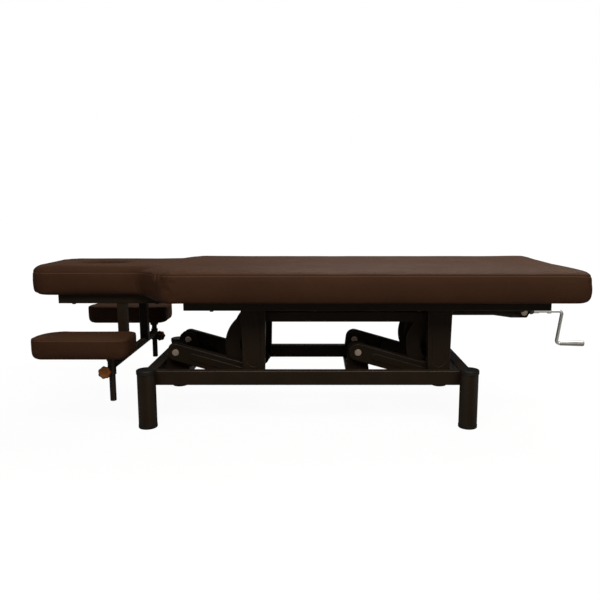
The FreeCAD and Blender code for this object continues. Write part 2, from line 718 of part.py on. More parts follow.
pin_end = LINK_OUTER_Y + SIDE
pin = round_bar("xz", LEVER_PIVOTS[0], PIN_RADIUS, -pin_end, pin_end)
pin = pin.fuse([pin_head(LEVER_PIVOTS[0], side * pin_end, side) for side in (NEAR_SIDE, FAR_SIDE)])
save("head_lever_pin", pin)
stub = round_bar("xz", LEVER_PIVOTS[1], PIN_RADIUS, -pin_end, -LEVER_INNER_Y)
stub = stub.fuse([pin_head(LEVER_PIVOTS[1], -pin_end, -1), pin_head(LEVER_PIVOTS[1], -LEVER_INNER_Y, 1)])
save("foot_lever_pins", [stub, far(stub)])

# base

legs = []
feet = []
caps = []
leg_holes = []
for x in (LEG_HEAD_X, LEG_FOOT_X):
    for y in (-LEG_Y, LEG_Y):
        at = (x, y)
        legs.append(pipe("xy", at, LEG_RADIUS, LEG_WALL, FOOT_SOLE, LEG_HEIGHT - CAP_TOP))
        leg_holes.append(round_bar("xy", at, LEG_RADIUS, 0, LEG_HEIGHT))
        sole = round_bar("xy", at, LEG_RADIUS + FOOT_LIP, 0, FOOT_SOLE)
        sole = sole.makeFillet(FOOT_ROUND, level_edges(sole, 0))
        stem = round_bar("xy", at, LEG_RADIUS - LEG_WALL - TOUCH, FOOT_SOLE, FOOT_SOLE + FOOT_STEM)
        feet.append(sole.fuse(stem))
        lid = round_bar("xy", at, LEG_RADIUS + CAP_LIP, LEG_HEIGHT - CAP_TALL, LEG_HEIGHT)
        lid = lid.makeFillet(CAP_ROUND, level_edges(lid, LEG_HEIGHT))
        lid_room = round_bar("xy", at, LEG_RADIUS + TOUCH, LEG_HEIGHT - CAP_TALL, LEG_HEIGHT - CAP_TOP)
        caps.append(lid.cut(lid_room))
save("legs", legs)
save("feet", feet)
save("leg_caps", caps)
leg_holes = Part.makeCompound(leg_holes)

for name, x in (("head", LEG_HEAD_X), ("foot", LEG_FOOT_X)):
    end_rail = hollow("xz", (x, BASE_RAIL_Z), BASE_END_WIDE, BASE_RAIL_TALL, -LEG_Y, LEG_Y)
    end_rail = end_rail.cut(leg_holes)
    save("base_end_" + name, max(end_rail.Solids, key=lambda s: s.Volume))
rail_from = LEG_HEAD_X + BASE_END_WIDE / 2
rail_to = LEG_FOOT_X - BASE_END_WIDE / 2
rail = hollow("yz", (-BASE_RAIL_Y, BASE_RAIL_Z), BASE_RAIL_WIDE, BASE_RAIL_TALL, rail_from, rail_to)
rail = rail.cut(leg_holes)
save("base_rail_near", rail)
save("base_rail_far", far(rail))
beam_end = BASE_RAIL_OUTER_Y - BASE_RAIL_WIDE
beams = [hollow("xz", (pivot[0], BEAM_TOP - BEAM_TALL / 2), BEAM_WIDE, BEAM_TALL, -beam_end, beam_end)
         for pivot in BASE_PIVOTS]
save("base_beams", beams)


def bracket(pivot):
    """Folded U of plate on the beam, its two cheeks rounded over the pivot, with a welded bush."""
    x, z = pivot
    half = BRACKET_WIDE / 2
    top = z + BRACKET_ROUND
    crest = BRACKET_ROUND * 1.07
    outline = [(x - half, BEAM_TOP), (x + half, BEAM_TOP), (x + crest, top), (x - crest, top)]
    radii = [0, 0, BRACKET_ROUND * 0.8, BRACKET_ROUND * 0.8]
    body = prism(outline, radii, "xz", -BRACKET_OUTER_Y, -BRACKET_INNER_Y)
    gap = box(x - BRACKET_WIDE, x + BRACKET_WIDE, -BRACKET_OUTER_Y + BRACKET_PLATE,
              -BRACKET_INNER_Y - BRACKET_PLATE, BEAM_TOP + BRACKET_PLATE, top)
    body = body.cut(gap)
    bush_end = -ARM_OUTER_Y + ARM_PLATE + SIDE
    body = body.fuse(round_bar("xz", pivot, BUSH_RADIUS, bush_end, -BRACKET_OUTER_Y))
    return body.cut(round_bar("xz", pivot, PIN_RADIUS + TOUCH, bush_end, -BRACKET_INNER_Y))


def base_bolt(pivot):
    face = -ARM_OUTER_Y - SIDE
    body = round_bar("xz", pivot, PIN_RADIUS, face, -BRACKET_INNER_Y)
    return body.fuse([pin_head(pivot, face, -1), pin_head(pivot, -BRACKET_INNER_Y, 1)])


brackets = []
bolts = []
for pivot in BASE_PIVOTS:
    brackets += [bracket(pivot), far(bracket(pivot))]
    bolts += [base_bolt(pivot), far(base_bolt(pivot))]
save("pivot_brackets", brackets)
save("base_pivot_bolts", bolts)

# screw drive: trunnioned housing and tube, turning screw, sliding push rod with a slotted fork

axis = (0, DRIVE_Z)


def lathe(profile):
    """Solid of revolution about the drive's axis from (x, radius) points."""
    wire = Part.makePolygon([V(x, 0, DRIVE_Z + r) for x, r in profile + [profile[0]]])
    return Part.Face(wire).revolve(V(0, 0, DRIVE_Z), V(1, 0, 0), 360)


bore = DRIVE_TUBE_RADIUS - DRIVE_TUBE_WALL
barrel = pipe("yz", axis, DRIVE_TUBE_RADIUS, DRIVE_TUBE_WALL, DRIVE_TUBE_HEAD_X, DRIVE_TUBE_FOOT_X)
guide_end = DRIVE_TUBE_HEAD_X + GUIDE_LONG
guide = pipe("yz", axis, bore, bore - PUSH_RADIUS - RUN, DRIVE_TUBE_HEAD_X, guide_end)
save("drive_tube", barrel.fuse(guide))
housing = lathe([
    (DRIVE_TUBE_FOOT_X, bore), (DRIVE_TUBE_FOOT_X, DRIVE_TUBE_RADIUS), (HOUSING_FLARE_X, HOUSING_RADIUS),
    (HOUSING_END_X - HOUSING_CHAMFER, HOUSING_RADIUS), (HOUSING_END_X, HOUSING_RADIUS - HOUSING_CHAMFER),
    (HOUSING_END_X, SCREW_RADIUS + RUN), (HOUSING_WALL_X, SCREW_RADIUS + RUN),
    (HOUSING_WALL_X - 2 * HOUSING_CHAMFER, bore),
])
trunnion_root = HOUSING_RADIUS - TRUNNION_SINK
trunnions = []
for side in (NEAR_SIDE, FAR_SIDE):
    low, high = sorted((side * trunnion_root, side * 2 * HOUSING_RADIUS))
    housing = housing.cut(round_bar("xz", DRIVE_PIVOT, TRUNNION_RADIUS + TOUCH, low, high))
    face = DRIVE_CHEEK_Y + DRIVE_CHEEK + SIDE
    low, high = sorted((side * trunnion_root, side * face))
    shank = round_bar("xz", DRIVE_PIVOT, TRUNNION_RADIUS, low, high)
    trunnions.append(shank.fuse(pin_head(DRIVE_PIVOT, side * face, side)))
save("drive_housing", housing)
save("drive_trunnions", trunnions)

cheek_low = DRIVE_Z - CHEEK_DROP
seat_from = DRIVE_X - CHEEK_BACK
seat_to = DRIVE_X + CHEEK_FRONT * 0.75
cheek_line = [(seat_from, FRAME_LOW), (DRIVE_X - CHEEK_BACK / 2, cheek_low),
              (DRIVE_X + CHEEK_FRONT / 3, cheek_low), (DRIVE_X + CHEEK_FRONT, DRIVE_Z), (seat_to, FRAME_LOW)]
cheek_round = [0, CHEEK_CORNER, CHEEK_CORNER, CHEEK_CORNER * 0.8, 0]
cheek_outer = -DRIVE_CHEEK_Y - DRIVE_CHEEK
cheek = prism(cheek_line, cheek_round, "xz", cheek_outer, -DRIVE_CHEEK_Y)
cheek = cheek.cut(round_bar("xz", DRIVE_PIVOT, TRUNNION_RADIUS + RUN, cheek_outer, -DRIVE_CHEEK_Y))
seat_half = DRIVE_CHEEK_Y + SEAT_LIP
seat = box(seat_from, seat_to, -seat_half, seat_half, FRAME_LOW - DRIVE_CHEEK, FRAME_LOW)
save("drive_bracket", seat.fuse([cheek, far(cheek)]))

screw = round_bar("yz", axis, SCREW_RADIUS, SCREW_HEAD_X, JOINT_X)
grooves = []
turns = int((PUSH_FOOT_X - SCREW_HEAD_X) / SCREW_PITCH) + 4
for i in range(turns):
    x = SCREW_HEAD_X + SCREW_PITCH * (i + 0.5)
    ring = pipe("yz", axis, SCREW_RADIUS + SCREW_GROOVE, 2 * SCREW_GROOVE, x, x + SCREW_PITCH / 3)
    grooves.append(ring)
screw = screw.cut(Part.makeCompound(grooves))
cup = round_bar("yz", axis, JOINT_CUP, HOUSING_END_X + 2 * SIDE, JOINT_X)
ball_room = Part.makeSphere(JOINT_BALL + SIDE, V(JOINT_X, 0, DRIVE_Z))
save("drive_screw", screw.fuse(cup).cut(ball_room))

push_from = LEVER_PIVOTS[0][0] + FORK_LONG
push = pipe("yz", axis, PUSH_RADIUS, PUSH_WALL, push_from - FORK_PLATE, PUSH_FOOT_X)
nut = round_bar("yz", axis, PUSH_RADIUS - PUSH_WALL, PUSH_FOOT_X - NUT_LONG, PUSH_FOOT_X)
nut = nut.cut(round_bar("yz", axis, SCREW_RADIUS + RUN, PUSH_FOOT_X - NUT_LONG, PUSH_FOOT_X))
block = box(push_from - FORK_BLOCK, push_from, -FORK_INNER_Y - FORK_PLATE, FORK_INNER_Y + FORK_PLATE,
            DRIVE_Z - FORK_HALF, DRIVE_Z + FORK_HALF)

# the fork's slots give the lever pin the room that it takes about the drive's mean line


def raised(turn):
    """Lever pin and drive pivot in the side view with the arms turned up by some degrees."""
    pivot = along(BASE_PIVOTS[0], ARM_LENGTH, ARM_REST + turn)
    tip = along(pivot, LEVER_LENGTH, ARM_REST + turn + LEVER_SPREAD)
    drive = (DRIVE_X + pivot[0] - TOP_PIVOTS[0][0], DRIVE_Z + pivot[1] - TOP_PIVOTS[0][1])
    return tip, drive


def reach_and_tilt(turn):
    tip, drive = raised(turn)
    return math.dist(tip, drive), math.degrees(math.atan2(drive[1] - tip[1], drive[0] - tip[0]))


REST_REACH, REST_TILT = reach_and_tilt(0)
FULL_REACH, FULL_TILT = reach_and_tilt(LIFT)


def pin_in_fork(turn):
    """Where the lever pin lies in the resting fork when the drive follows the lift at its mean rate."""
    tip, drive = raised(turn)
    share = turn / LIFT
    level = turned(tip, drive, -FULL_TILT * share)
    stroke = (FULL_REACH - REST_REACH) * share
    return (level[0] - drive[0] + DRIVE_X + stroke, level[1] - drive[1] + DRIVE_Z)


SLOT_STEPS = 10
path = [pin_in_fork(LIFT * i / SLOT_STEPS) for i in range(SLOT_STEPS + 1)]
slot_half = PIN_RADIUS + FORK_PLAY
edge = slot_half + FORK_RIM
left = min(p[0] for p in path) - edge
low = min(p[1] for p in path) - edge
high = FRAME_LOW - FORK_TOP_GAP
fork_line = [(left, low), (push_from, DRIVE_Z - FORK_HALF), (push_from, DRIVE_Z + FORK_HALF),
             (max(p[0] for p in path) + edge, high), (left, high)]
fork_round = [FORK_RIM, FORK_PLATE / 2, FORK_PLATE / 2, FORK_RIM, FORK_RIM]
fork = prism(fork_line, fork_round, "xz", -FORK_INNER_Y - FORK_PLATE, -FORK_INNER_Y)
for p, q in zip(path, path[1:]):
    fork = fork.cut(band(p, q, slot_half, -FORK_INNER_Y - FORK_PLATE, -FORK_INNER_Y))
block = block.cut(round_bar("yz", axis, PUSH_RADIUS - PUSH_WALL, push_from - FORK_BLOCK, push_from))
save("push_rod", push.fuse([nut, block, fork, far(fork)]))

# folding crank: joint ball, bent rod and turning grip

ball = Part.makeSphere(JOINT_BALL, V(JOINT_X, 0, DRIVE_Z))
pin_half = JOINT_BALL + JOINT_PIN_OUT
ball = ball.fuse(round_bar("xz", (JOINT_X, DRIVE_Z), JOINT_PIN, -pin_half, pin_half))
save("crank_joint", ball)

grip_z = DRIVE_Z - CRANK_THROW
grip_from = GRIP_END_X - GRIP_LENGTH
rod_from = JOINT_X + JOINT_BALL - CRANK_SINK
spindle_to = GRIP_END_X - GRIP_CAP
corners = [(rod_from, DRIVE_Z), (CRANK_BEND_X, DRIVE_Z), (CRANK_BEND_X - CRANK_LEAN, grip_z),
           (spindle_to, grip_z)]


def bent(points, bend):
    """Open path in the side view with its inner corners rounded."""
    edges = []
    start = V(points[0][0], 0, points[0][1])
    for i in range(1, len(points) - 1):
        p = V(points[i][0], 0, points[i][1])
        back = (V(points[i - 1][0], 0, points[i - 1][1]) - p).normalize()
        ahead = (V(points[i + 1][0], 0, points[i + 1][1]) - p).normalize()
        half = back.getAngle(ahead) / 2
        tangent = bend / math.tan(half)
        bow = p + (back + ahead).normalize() * (bend / math.sin(half) - bend)
        edges.append(Part.makeLine(start, p + back * tangent))
        edges.append(Part.Arc(p + back * tangent, bow, p + ahead * tangent).toShape())
        start = p + ahead * tangent
    edges.append(Part.makeLine(start, V(points[-1][0], 0, points[-1][1])))
    return Part.Wire(edges)


ring = Part.Wire(Part.makeCircle(CRANK_RADIUS, V(rod_from, 0, DRIVE_Z), V(1, 0, 0)))
crank = bent(corners, CRANK_BEND).makePipeShell([ring], True, True)
hub = round_bar("yz", axis, JOINT_CUP, JOINT_X + JOINT_BALL / 2, JOINT_X + CRANK_HUB)
collar = round_bar("yz", axis, COLLAR_RADIUS, JOINT_X + COLLAR_FROM, JOINT_X + COLLAR_FROM + COLLAR_LONG)
collar = collar.makeFillet(COLLAR_ROUND, collar.Edges[:1])
crank = crank.fuse([hub, collar]).cut(ball_room)
save("crank", crank)
grip = Part.makeCone(GRIP_NECK_RADIUS, GRIP_RADIUS, GRIP_LENGTH, V(grip_from, 0, grip_z), V(1, 0, 0))
for x, radius in ((grip_from, GRIP_NECK_ROUND), (GRIP_END_X, GRIP_ROUND)):
    rim = [e for e in grip.Edges if abs(e.BoundBox.XMin - x) < 0.01 and e.BoundBox.XLength < 0.01]
    grip = grip.makeFillet(radius, rim)
grip = grip.cut(round_bar("yz", (0, grip_z), CRANK_RADIUS + RUN, grip_from, spindle_to + END_PLAY))
save("crank_grip", grip)

# armrest carrier under the head: hangers, spreader, split clamp sleeves

spreader = round_bar("xz", (ARMREST_X, SPREADER_Z), SPREADER_RADIUS, -ARMREST_Y, ARMREST_Y)
sleeve_room = [round_bar("xy", (ARMREST_X, side * ARMREST_Y), SLEEVE_RADIUS, 0, PAD_LOW)
               for side in (NEAR_SIDE, FAR_SIDE)]
spreader_bar = pipe("xz", (ARMREST_X, SPREADER_Z), SPREADER_RADIUS, WALL, -ARMREST_Y, ARMREST_Y)
spreader_bar = spreader_bar.cut(Part.makeCompound(sleeve_room))
save("armrest_spreader", max(spreader_bar.Solids, key=lambda s: s.Volume))
hanger = hollow("xy", (ARMREST_X, -HEAD_RAIL_Y), HANGER_SIZE, HANGER_SIZE, SPREADER_Z, HEAD_RAIL_LOW)
hanger = hanger.cut(spreader)
save("armrest_hangers", [hanger, far(hanger)])

ear_from = ARMREST_X - CLAMP_REACH - EAR_RIM
ear_top = CLAMP_Z + EAR_RISE
ear_half = CLAMP_SLOT / 2 + CLAMP_EAR
sleeve_top = SLEEVE_LOW + SLEEVE_TALL
sleeve_at = (ARMREST_X, -ARMREST_Y)
screw_at = (ARMREST_X - CLAMP_REACH, CLAMP_Z)
sleeve = round_bar("xy", sleeve_at, SLEEVE_RADIUS, SLEEVE_LOW, sleeve_top)
ear_line = [(ear_from, SLEEVE_LOW), (ARMREST_X, SLEEVE_LOW), (ARMREST_X, ear_top), (ear_from, ear_top)]
ears = prism(ear_line, [EAR_ROUND, 0, 0, EAR_ROUND], "xz", -ARMREST_Y - ear_half, -ARMREST_Y + ear_half)
sleeve = sleeve.fuse(ears).cut(round_bar("xy", sleeve_at, ROD_RADIUS + RUN, SLEEVE_LOW, sleeve_top))
split = CLAMP_SLOT / 2
sleeve = sleeve.cut(box(ear_from, ARMREST_X, -ARMREST_Y - split, -ARMREST_Y + split, SLEEVE_LOW, ear_top))
ears_y = (-ARMREST_Y - ear_half, -ARMREST_Y + ear_half)
sleeve = sleeve.cut(round_bar("xz", screw_at, CLAMP_SCREW + RUN, ears_y[0], ears_y[1]))


def other(shape):
    """The same piece turned half round, for the far armrest."""
    copy = shape.copy()
    copy.rotate(V(ARMREST_X, 0, 0), V(0, 0, 1), 180)
    return copy


save("armrest_sleeves", [sleeve, other(sleeve)])

knob_from = ears_y[0] - SIDE


def star(at, start, end):
    """Star knob: round lobes with hollow flutes between them, tangent to each other."""
    lobe_at = KNOB_RADIUS * 0.74
    flute_at = KNOB_RADIUS * 1.05
    lobe = KNOB_RADIUS - lobe_at
    step = 360.0 / KNOB_LOBES
    edges = []
    for i in range(KNOB_LOBES):
        back = along(at, flute_at, step * (i - 0.5))
        centre = along(at, lobe_at, step * i)
        ahead = along(at, flute_at, step * (i + 0.5))
        following = along(at, lobe_at, step * (i + 1))
        share = lobe / math.dist(centre, ahead)
        flute = math.dist(centre, ahead) - lobe
        meets = [(c[0] + (f[0] - c[0]) * share, c[1] + (f[1] - c[1]) * share)
                 for c, f in ((centre, back), (centre, ahead), (following, ahead))]
        crest = along(at, KNOB_RADIUS, step * i)
        valley = along(at, flute_at - flute, step * (i + 0.5))
        a, b, c, d, e = [V(x, start, z) for x, z in (meets[0], crest, meets[1], valley, meets[2])]
        edges.append(Part.Arc(a, b, c).toShape())
        edges.append(Part.Arc(c, d, e).toShape())
    return Part.Face(Part.Wire(edges)).extrude(V(0, end - start, 0))


knob = star(screw_at, knob_from - KNOB_TALL, knob_from - KNOB_NECK)
knob = knob.makeChamfer(KNOB_EDGE, side_edges(knob, knob_from - KNOB_TALL))
knob = knob.fuse(round_bar("xz", screw_at, KNOB_NECK_RADIUS, knob_from - KNOB_NECK, knob_from))
knob = knob.fuse(round_bar("xz", screw_at, CLAMP_SCREW, knob_from, ears_y[1] + CLAMP_SCREW_OUT))
save("knob_near", knob)
save("knob_far", other(knob))

# armrests: rod, swivel plate, board and cushion


def armrest_slab(inset, low, high):
    a = ARMREST_X - ARMREST_HEAD_REACH + inset
    b = a + ARMREST_LONG - 2 * inset
    c = ARMREST_WIDE / 2 - inset
    corners = [(a, -ARMREST_Y - c), (b, -ARMREST_Y - c), (b, -ARMREST_Y + c), (a, -ARMREST_Y + c)]
    return prism(corners, ARMREST_CORNER - inset, "xy", low, high)


HUB_LOW = sleeve_top + END_PLAY
PLATE_LOW = ARMREST_LOW - PLATE_THICK
BOARD_TOP = ARMREST_LOW + BOARD_THICK
rod = round_bar("xy", sleeve_at, ROD_RADIUS, ROD_LOW, PLATE_LOW - SIDE)
rod = rod.makeFillet(ROD_ROUND, level_edges(rod, ROD_LOW))
plate_x = (ARMREST_X - PLATE_HEAD_REACH, ARMREST_X + PLATE_FOOT_REACH)
plate_y = (-ARMREST_Y - PLATE_HALF, -ARMREST_Y + PLATE_HALF)
plate_corners = [(plate_x[0], plate_y[0]), (plate_x[1], plate_y[0]),
                 (plate_x[1], plate_y[1]), (plate_x[0], plate_y[1])]
plate = prism(plate_corners, PLATE_CORNER, "xy", PLATE_LOW, ARMREST_LOW)
hub = round_bar("xy", sleeve_at, HUB_RADIUS, HUB_LOW, PLATE_LOW)
hub = hub.cut(round_bar("xy", sleeve_at, ROD_RADIUS + RUN, HUB_LOW, PLATE_LOW))
plate = plate.fuse(hub)
board = armrest_slab(ARMREST_WRAP, ARMREST_LOW, BOARD_TOP)
pad_low = ARMREST_LOW - ARMREST_SKIRT
pad = armrest_slab(0, pad_low, ARMREST_TOP)
pad = pad.makeFillet(ARMREST_ROUND, level_edges(pad, ARMREST_TOP))
pad = pad.makeFillet(ARMREST_ROUND * 0.6, level_edges(pad, pad_low))
pad = pad.cut(armrest_slab(ARMREST_WRAP - SOFT, pad_low, BOARD_TOP + SOFT))
for name, shape in (("rod", rod), ("plate", plate), ("board", board), ("cushion", pad)):
    save("armrest_" + name + "_near", shape)
    raised_shape = far(shape)
    shift = ARMREST_FAR_SHIFT if name in ("board", "cushion") else 0
    raised_shape.translate(V(-shift, 0, ARMREST_FAR_RAISE))
    save("armrest_" + name + "_far", raised_shape)
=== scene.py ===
import math

import bmesh
import bpy
from bpy.props import FloatProperty, FloatVectorProperty, IntProperty, PointerProperty
from mathutils import Matrix, Vector, noise


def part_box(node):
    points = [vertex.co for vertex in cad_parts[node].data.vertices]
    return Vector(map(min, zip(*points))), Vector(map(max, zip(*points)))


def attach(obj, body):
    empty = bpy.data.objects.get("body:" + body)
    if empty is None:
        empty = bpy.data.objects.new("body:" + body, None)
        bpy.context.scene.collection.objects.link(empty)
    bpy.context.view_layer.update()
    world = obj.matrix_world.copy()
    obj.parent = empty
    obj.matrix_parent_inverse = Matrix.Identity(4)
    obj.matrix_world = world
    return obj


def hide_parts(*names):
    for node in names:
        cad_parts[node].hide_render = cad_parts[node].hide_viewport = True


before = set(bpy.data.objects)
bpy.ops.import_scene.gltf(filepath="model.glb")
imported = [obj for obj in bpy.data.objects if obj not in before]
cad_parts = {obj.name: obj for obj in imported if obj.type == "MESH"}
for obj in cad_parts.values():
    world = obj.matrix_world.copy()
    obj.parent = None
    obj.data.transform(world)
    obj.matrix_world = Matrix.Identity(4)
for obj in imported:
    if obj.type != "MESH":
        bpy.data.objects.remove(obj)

bl_info = {
    "name": "Massage table looks",
    "version": (1, 0, 0),
    "blender": (4, 5, 0),
    "location": "3D View > Sidebar > Table",
    "description": "Dresses the packed massage table: padded top, armrests, finishes and studio",
    "category": "Object",
}

PAD_LOW, PAD_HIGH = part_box("cushion")
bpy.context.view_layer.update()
NEAR_FAR = ("near", "far")

FLOAT, COLOUR = "NodeSocketFloat", "NodeSocketColor"
WHITE = (1.0, 1.0, 1.0, 1.0)

# tolerances, and how upright a normal is on a face that counts as level
ON_LEVEL, ON_CORNER, LEVEL_FACE, ROLLED_FACE = 1e-5, 1e-4, 0.9, 0.97
# points of rounds and bends
EDGE_STEPS, BOARD_STEPS, CORNER_STEPS, BEND_STEPS, OPENING_FACETS = 3, 2, 10, 8, 72

# curved sides of the cushions: steps of inset and height on from a straight belt
PAD_BELT_AT, PAD_BELT = 0.040, 0.024
PAD_UP = ((0.0005, 0.013), (0.0012, 0.013), (0.0018, 0.013))
PAD_TOP_INSET, PAD_STEPPED = 0.0005, 0.103
PAD_DOWN = ((0.0006, 0.013), (0.0014, 0.013), (0.0025, 0.014))
REST_DOWN = ((0.0010, 0.010), (0.0025, 0.010), (0.0030, 0.008))
REST_STEPPED = 0.028
# turned faces of the knobs: steps of size and height
KNOB_FRONT = ((0.985, 0.0014), (0.955, 0.0011), (0.90, 0.0005), (0.72, -0.0002),
              (0.90, -0.0012), (0.3, 0))
KNOB_BACK = ((0.97, 0.0015), (0.90, 0.0013), (0.40, 0.0002), (0.95, 0.005), (0.42, 0.0),
             (1.0, 0.0253))
KNOB_FACETS = 14  # to a lobe
CUTTER_PAST = 0.05  # how far the opening's cutter reaches past the cushion
# gap between the opening's wall and the near-black tube of painted shade inside it
PAINTED_SHADE_LINING_GAP = 0.001

# cloth that swells the covers; what holds it is given in mesh sizes
SWELL_FRAMES, SWELL_QUALITY, SWELL_PRESSURE = 20, 4, 4.0
HELD_UNDER, HELD_SEAM = 0.3, 0.55
STILL = 1e-6

# puckers: place in pitches and height of each fold, then the folds' width in pitches,
# where they are bowed from, and the ranges over which they fade
GATHERS = ((-0.9, 0.6), (0.0, 1.0), (1.1, 0.7))
FOLD_WIDTH, BOWED_FROM = 0.26, 0.016
FADE_IN, FADE_DOWN, FADE_UP = (0.010, 0.034), (0.010, 0.046), (0.002, 0.012)
# the share of a fold's move on level faces, and the share of painted highlight on its crests
FOLD_ON_LEVEL, FOLD_PAINTED_HIGHLIGHT = 0.3, 0.9
# the part of the shoulders with a finer mesh
SLIVER, FINE_ALONG, FINE_DOWN, FINE_CUTS = 0.0004, 0.085, 0.065, 2

# the long cover's own shape: ranges along, across and up from its ends, middle and levels
HEAD_FADE = (-0.01, -0.03)
UNEVEN_ALONG, UNEVEN_UP, UNEVEN_HEIGHT = 9, 14, 0.0009
WAIST_SOFT, WAIST_ACROSS = 0.35, (0.20, 0.34)
FOOT_END, HEAD_END = (0.055, 0.012), (0.02, 0.08)
CORNER_ACROSS, CORNER_TUCK, DROOP_FROM = (0.30, 0.345), 0.4, 0.03
RIM_WIDE, RIM_DEEP = 0.022, 0.02
SHOULDER_SHARE = 0.62  # a shoulder's distance to its edge, against the distance across
# the armrests' ends
ROD_END, FREE_END = (0.05, 0.01), (0.01, 0.06)

# studio
FLOOR_SIZE, FLOOR_GREY, FLOOR_GLOW_SHARE = 30.0, (0.35, 0.35, 0.35, 1.0), 0.80
GLOW_NEAR, GLOW_FAR = (1.4, 1.19), (3.4, 1.27)  # distance and strength
DIM = 0.06
BOX_WIDE, BOX_DEEP = 3.0, 1.6
OVERHEAD_AT, OVERHEAD_AIM = (1.0, 1.2, 2.5), (0.4, 0.0, 0.5)
FRONT_AT, FRONT_AIM = (0.2, -2.3, 2.8), (0.1, -0.1, 0.4)
SENSOR = 36.0


def number(name, description, default, **kind):
    return FloatProperty(name=name, description=description, default=default, **kind)


def length(name, description, default):
    return number(name, description, default, unit="LENGTH", precision=4)


def colour(name, description, default):
    return FloatVectorProperty(name=name, description=description, default=default, size=3,
                               min=0.0, max=1.0, subtype="COLOR")


class PadSettings(bpy.types.PropertyGroup):
    """Sizes of the long cushion"""
    head_half: length("Head half width", "Half the width of the narrow head section", 0.190)
    shoulder_from: length("Shoulder start", "Where the head section starts to widen", -0.677)
    shoulder_to: length("Shoulder end", "Where the body has its full width", -0.498)
    shoulder_slope: number("Shoulder slope", "How steeply the shoulders widen in plan",
                           math.radians(52), subtype="ANGLE")
    head_corner: length("Head corner", "Plan radius of the head corners", 0.070)
    foot_corner: length("Foot corner", "Plan radius of the foot corners", 0.028)
    inset: length("Start inset", "How far the unswollen cover stays inside its space", 0.003)
    top_drop: length("Start drop", "How far the unswollen top stays below its space", 0.0005)
    hang: length("Wrap drop", "How far the unrounded cover hangs below its space", 0.003)
    edge: length("Edge round", "Bevel of the rolled upper edge", 0.011)
    seam_drop: length("Seam level", "How far the seam lies below the top", 0.0155)
    low_edge: length("Lower round", "Bevel of the wrapped lower edge", 0.004)
    rim: length("Wrapped rim", "Width of the cover's underside outside the board", 0.026)
    board_inset: length("Board inset", "How far the board stays inside the cover", 0.016)
    board_edge: length("Board edge", "Round of the board's lower edge", 0.002)
    voxel: length("Remesh size", "Size of the mesh that is simulated", 0.009)
    crown: length("Largest swell", "Most that a point of the cover may move out", 0.0055)
    head_lift: length("Head underside", "How much higher the head section's underside is", 0.009)
    head_fall: length("Head seam fall", "How much lower the head section's seam is", 0.006)
    head_roll: length("Head roll", "Round between the head section's top and its seam", 0.030)
    head_slope: length("Head slope", "How far the head section's top falls to its edge", 0.012)
    head_rise: length("Head top", "How much higher the head section's top is", 0.002)
    end_round: length("End round", "Round of the lower edge at the head and the foot", 0.019)
    end_bulge: length("End bulge", "How far the foot end swells out half way up", 0.005)
    corner_droop: length("Corner droop", "How much lower the seam is at the foot corners", 0.004)
    hole_x: length("Face opening place", "Middle of the face opening along the table", -0.853)
    hole_long: length("Face opening length", "Length of the oval face opening", 0.210)
    hole_wide: length("Face opening width", "Width of the oval face opening", 0.112)
    hole_rim: length("Face opening rim", "How far the rim of the face opening dips", 0.005)
    # a near-black tube inside the face opening is painted shade, standing in for the shadow deep
    # in the shaft
    painted_shade_lining: length("Lining", "Thickness of the dark lining in the face opening", 0.003)
    lining_below: length("Lining drop", "How far the lining stays below the top", 0.016)
    seam_depth: length("Seam depth", "How deep the sewn edge pulls in", 0.0014)
    seam_below: length("Seam roll", "Height of the side that rolls in to the seam", 0.006)
    seam_above: length("Seam roll on top", "Width of the top that rolls down to the seam", 0.005)
    # seam_line sets the width of the painted highlight along the seam
    seam_line: length("Seam line", "Half the width of the rubbed line along the seam", 0.0028)
    gather: length("Gather height", "Height of the puckers at the shoulders", 0.0058)
    gather_pitch: length("Gather pitch", "Distance between the puckers at the shoulders", 0.022)
    gather_bow: number("Gather bow", "How far the puckers are bowed", 16.0)
    gather_x: length("Gather place", "Middle of the puckers along the table", -0.560)
    gather_y: length("Gather side", "Middle of the puckers across the table", 0.300)
    waist: length("Waist", "How far the long sides pull in between their corners", 0.003)


class ArmrestSettings(bpy.types.PropertyGroup):
    """Sizes of the two armrest cushions"""
    corner: length("Corner", "Plan radius of the corners", 0.034)
    free_corner: length("Swept corner", "Plan radius of the inner corner at the free end", 0.092)
    inset: length("Start inset", "How far the unswollen cover stays inside its space", 0.001)
    free_reach: length("Free end", "How far the free end reaches past its space", -0.001)
    rod_end: length("Rod end", "How far the end by the rod stays inside its space", 0.008)
    hang: length("Wrap drop", "How far the unrounded cover hangs below its space", 0.005)
    top_rise: length("Top", "How far the unswollen top stands above its space", 0.003)
    edge: length("Edge round", "Bevel of the rolled upper edge", 0.005)
    seam_drop: length("Seam level", "How far the seam lies below the top", 0.0055)
    low_edge: length("Lower round", "Bevel of the wrapped lower edge", 0.004)
    board_edge: length("Board edge", "Round of the board's lower edge", 0.002)
    end_round: length("End round", "Round of the lower edge at both ends", 0.014)
    voxel: length("Remesh size", "Size of the mesh that is simulated", 0.0045)
    crown: length("Largest swell", "Most that a point of the cover may move out", 0.006)
    seam_depth: length("Seam depth", "How deep the sewn edge pulls in", 0.0012)
    seam_below: length("Seam roll", "Height of the side that rolls in to the seam", 0.005)
    seam_above: length("Seam roll on top", "Width of the top that rolls down to the seam", 0.005)
    # seam_line sets the width of the painted highlight along the seam
    seam_line: length("Seam line", "Half the width of the rubbed line along the seam", 0.0024)


class KnobSettings(bpy.types.PropertyGroup):
    """Sizes of the two clamp knobs"""
    reach: length("Reach", "Outer radius of the lobes", 0.0225)
    lobe: length("Lobe", "How far the rim swings in between the lobes", 0.0026)
    lobes: IntProperty(name="Lobes", description="Number of lobes", default=7)
    rim: length("Rim", "Height of the rim between its rounds", 0.009)


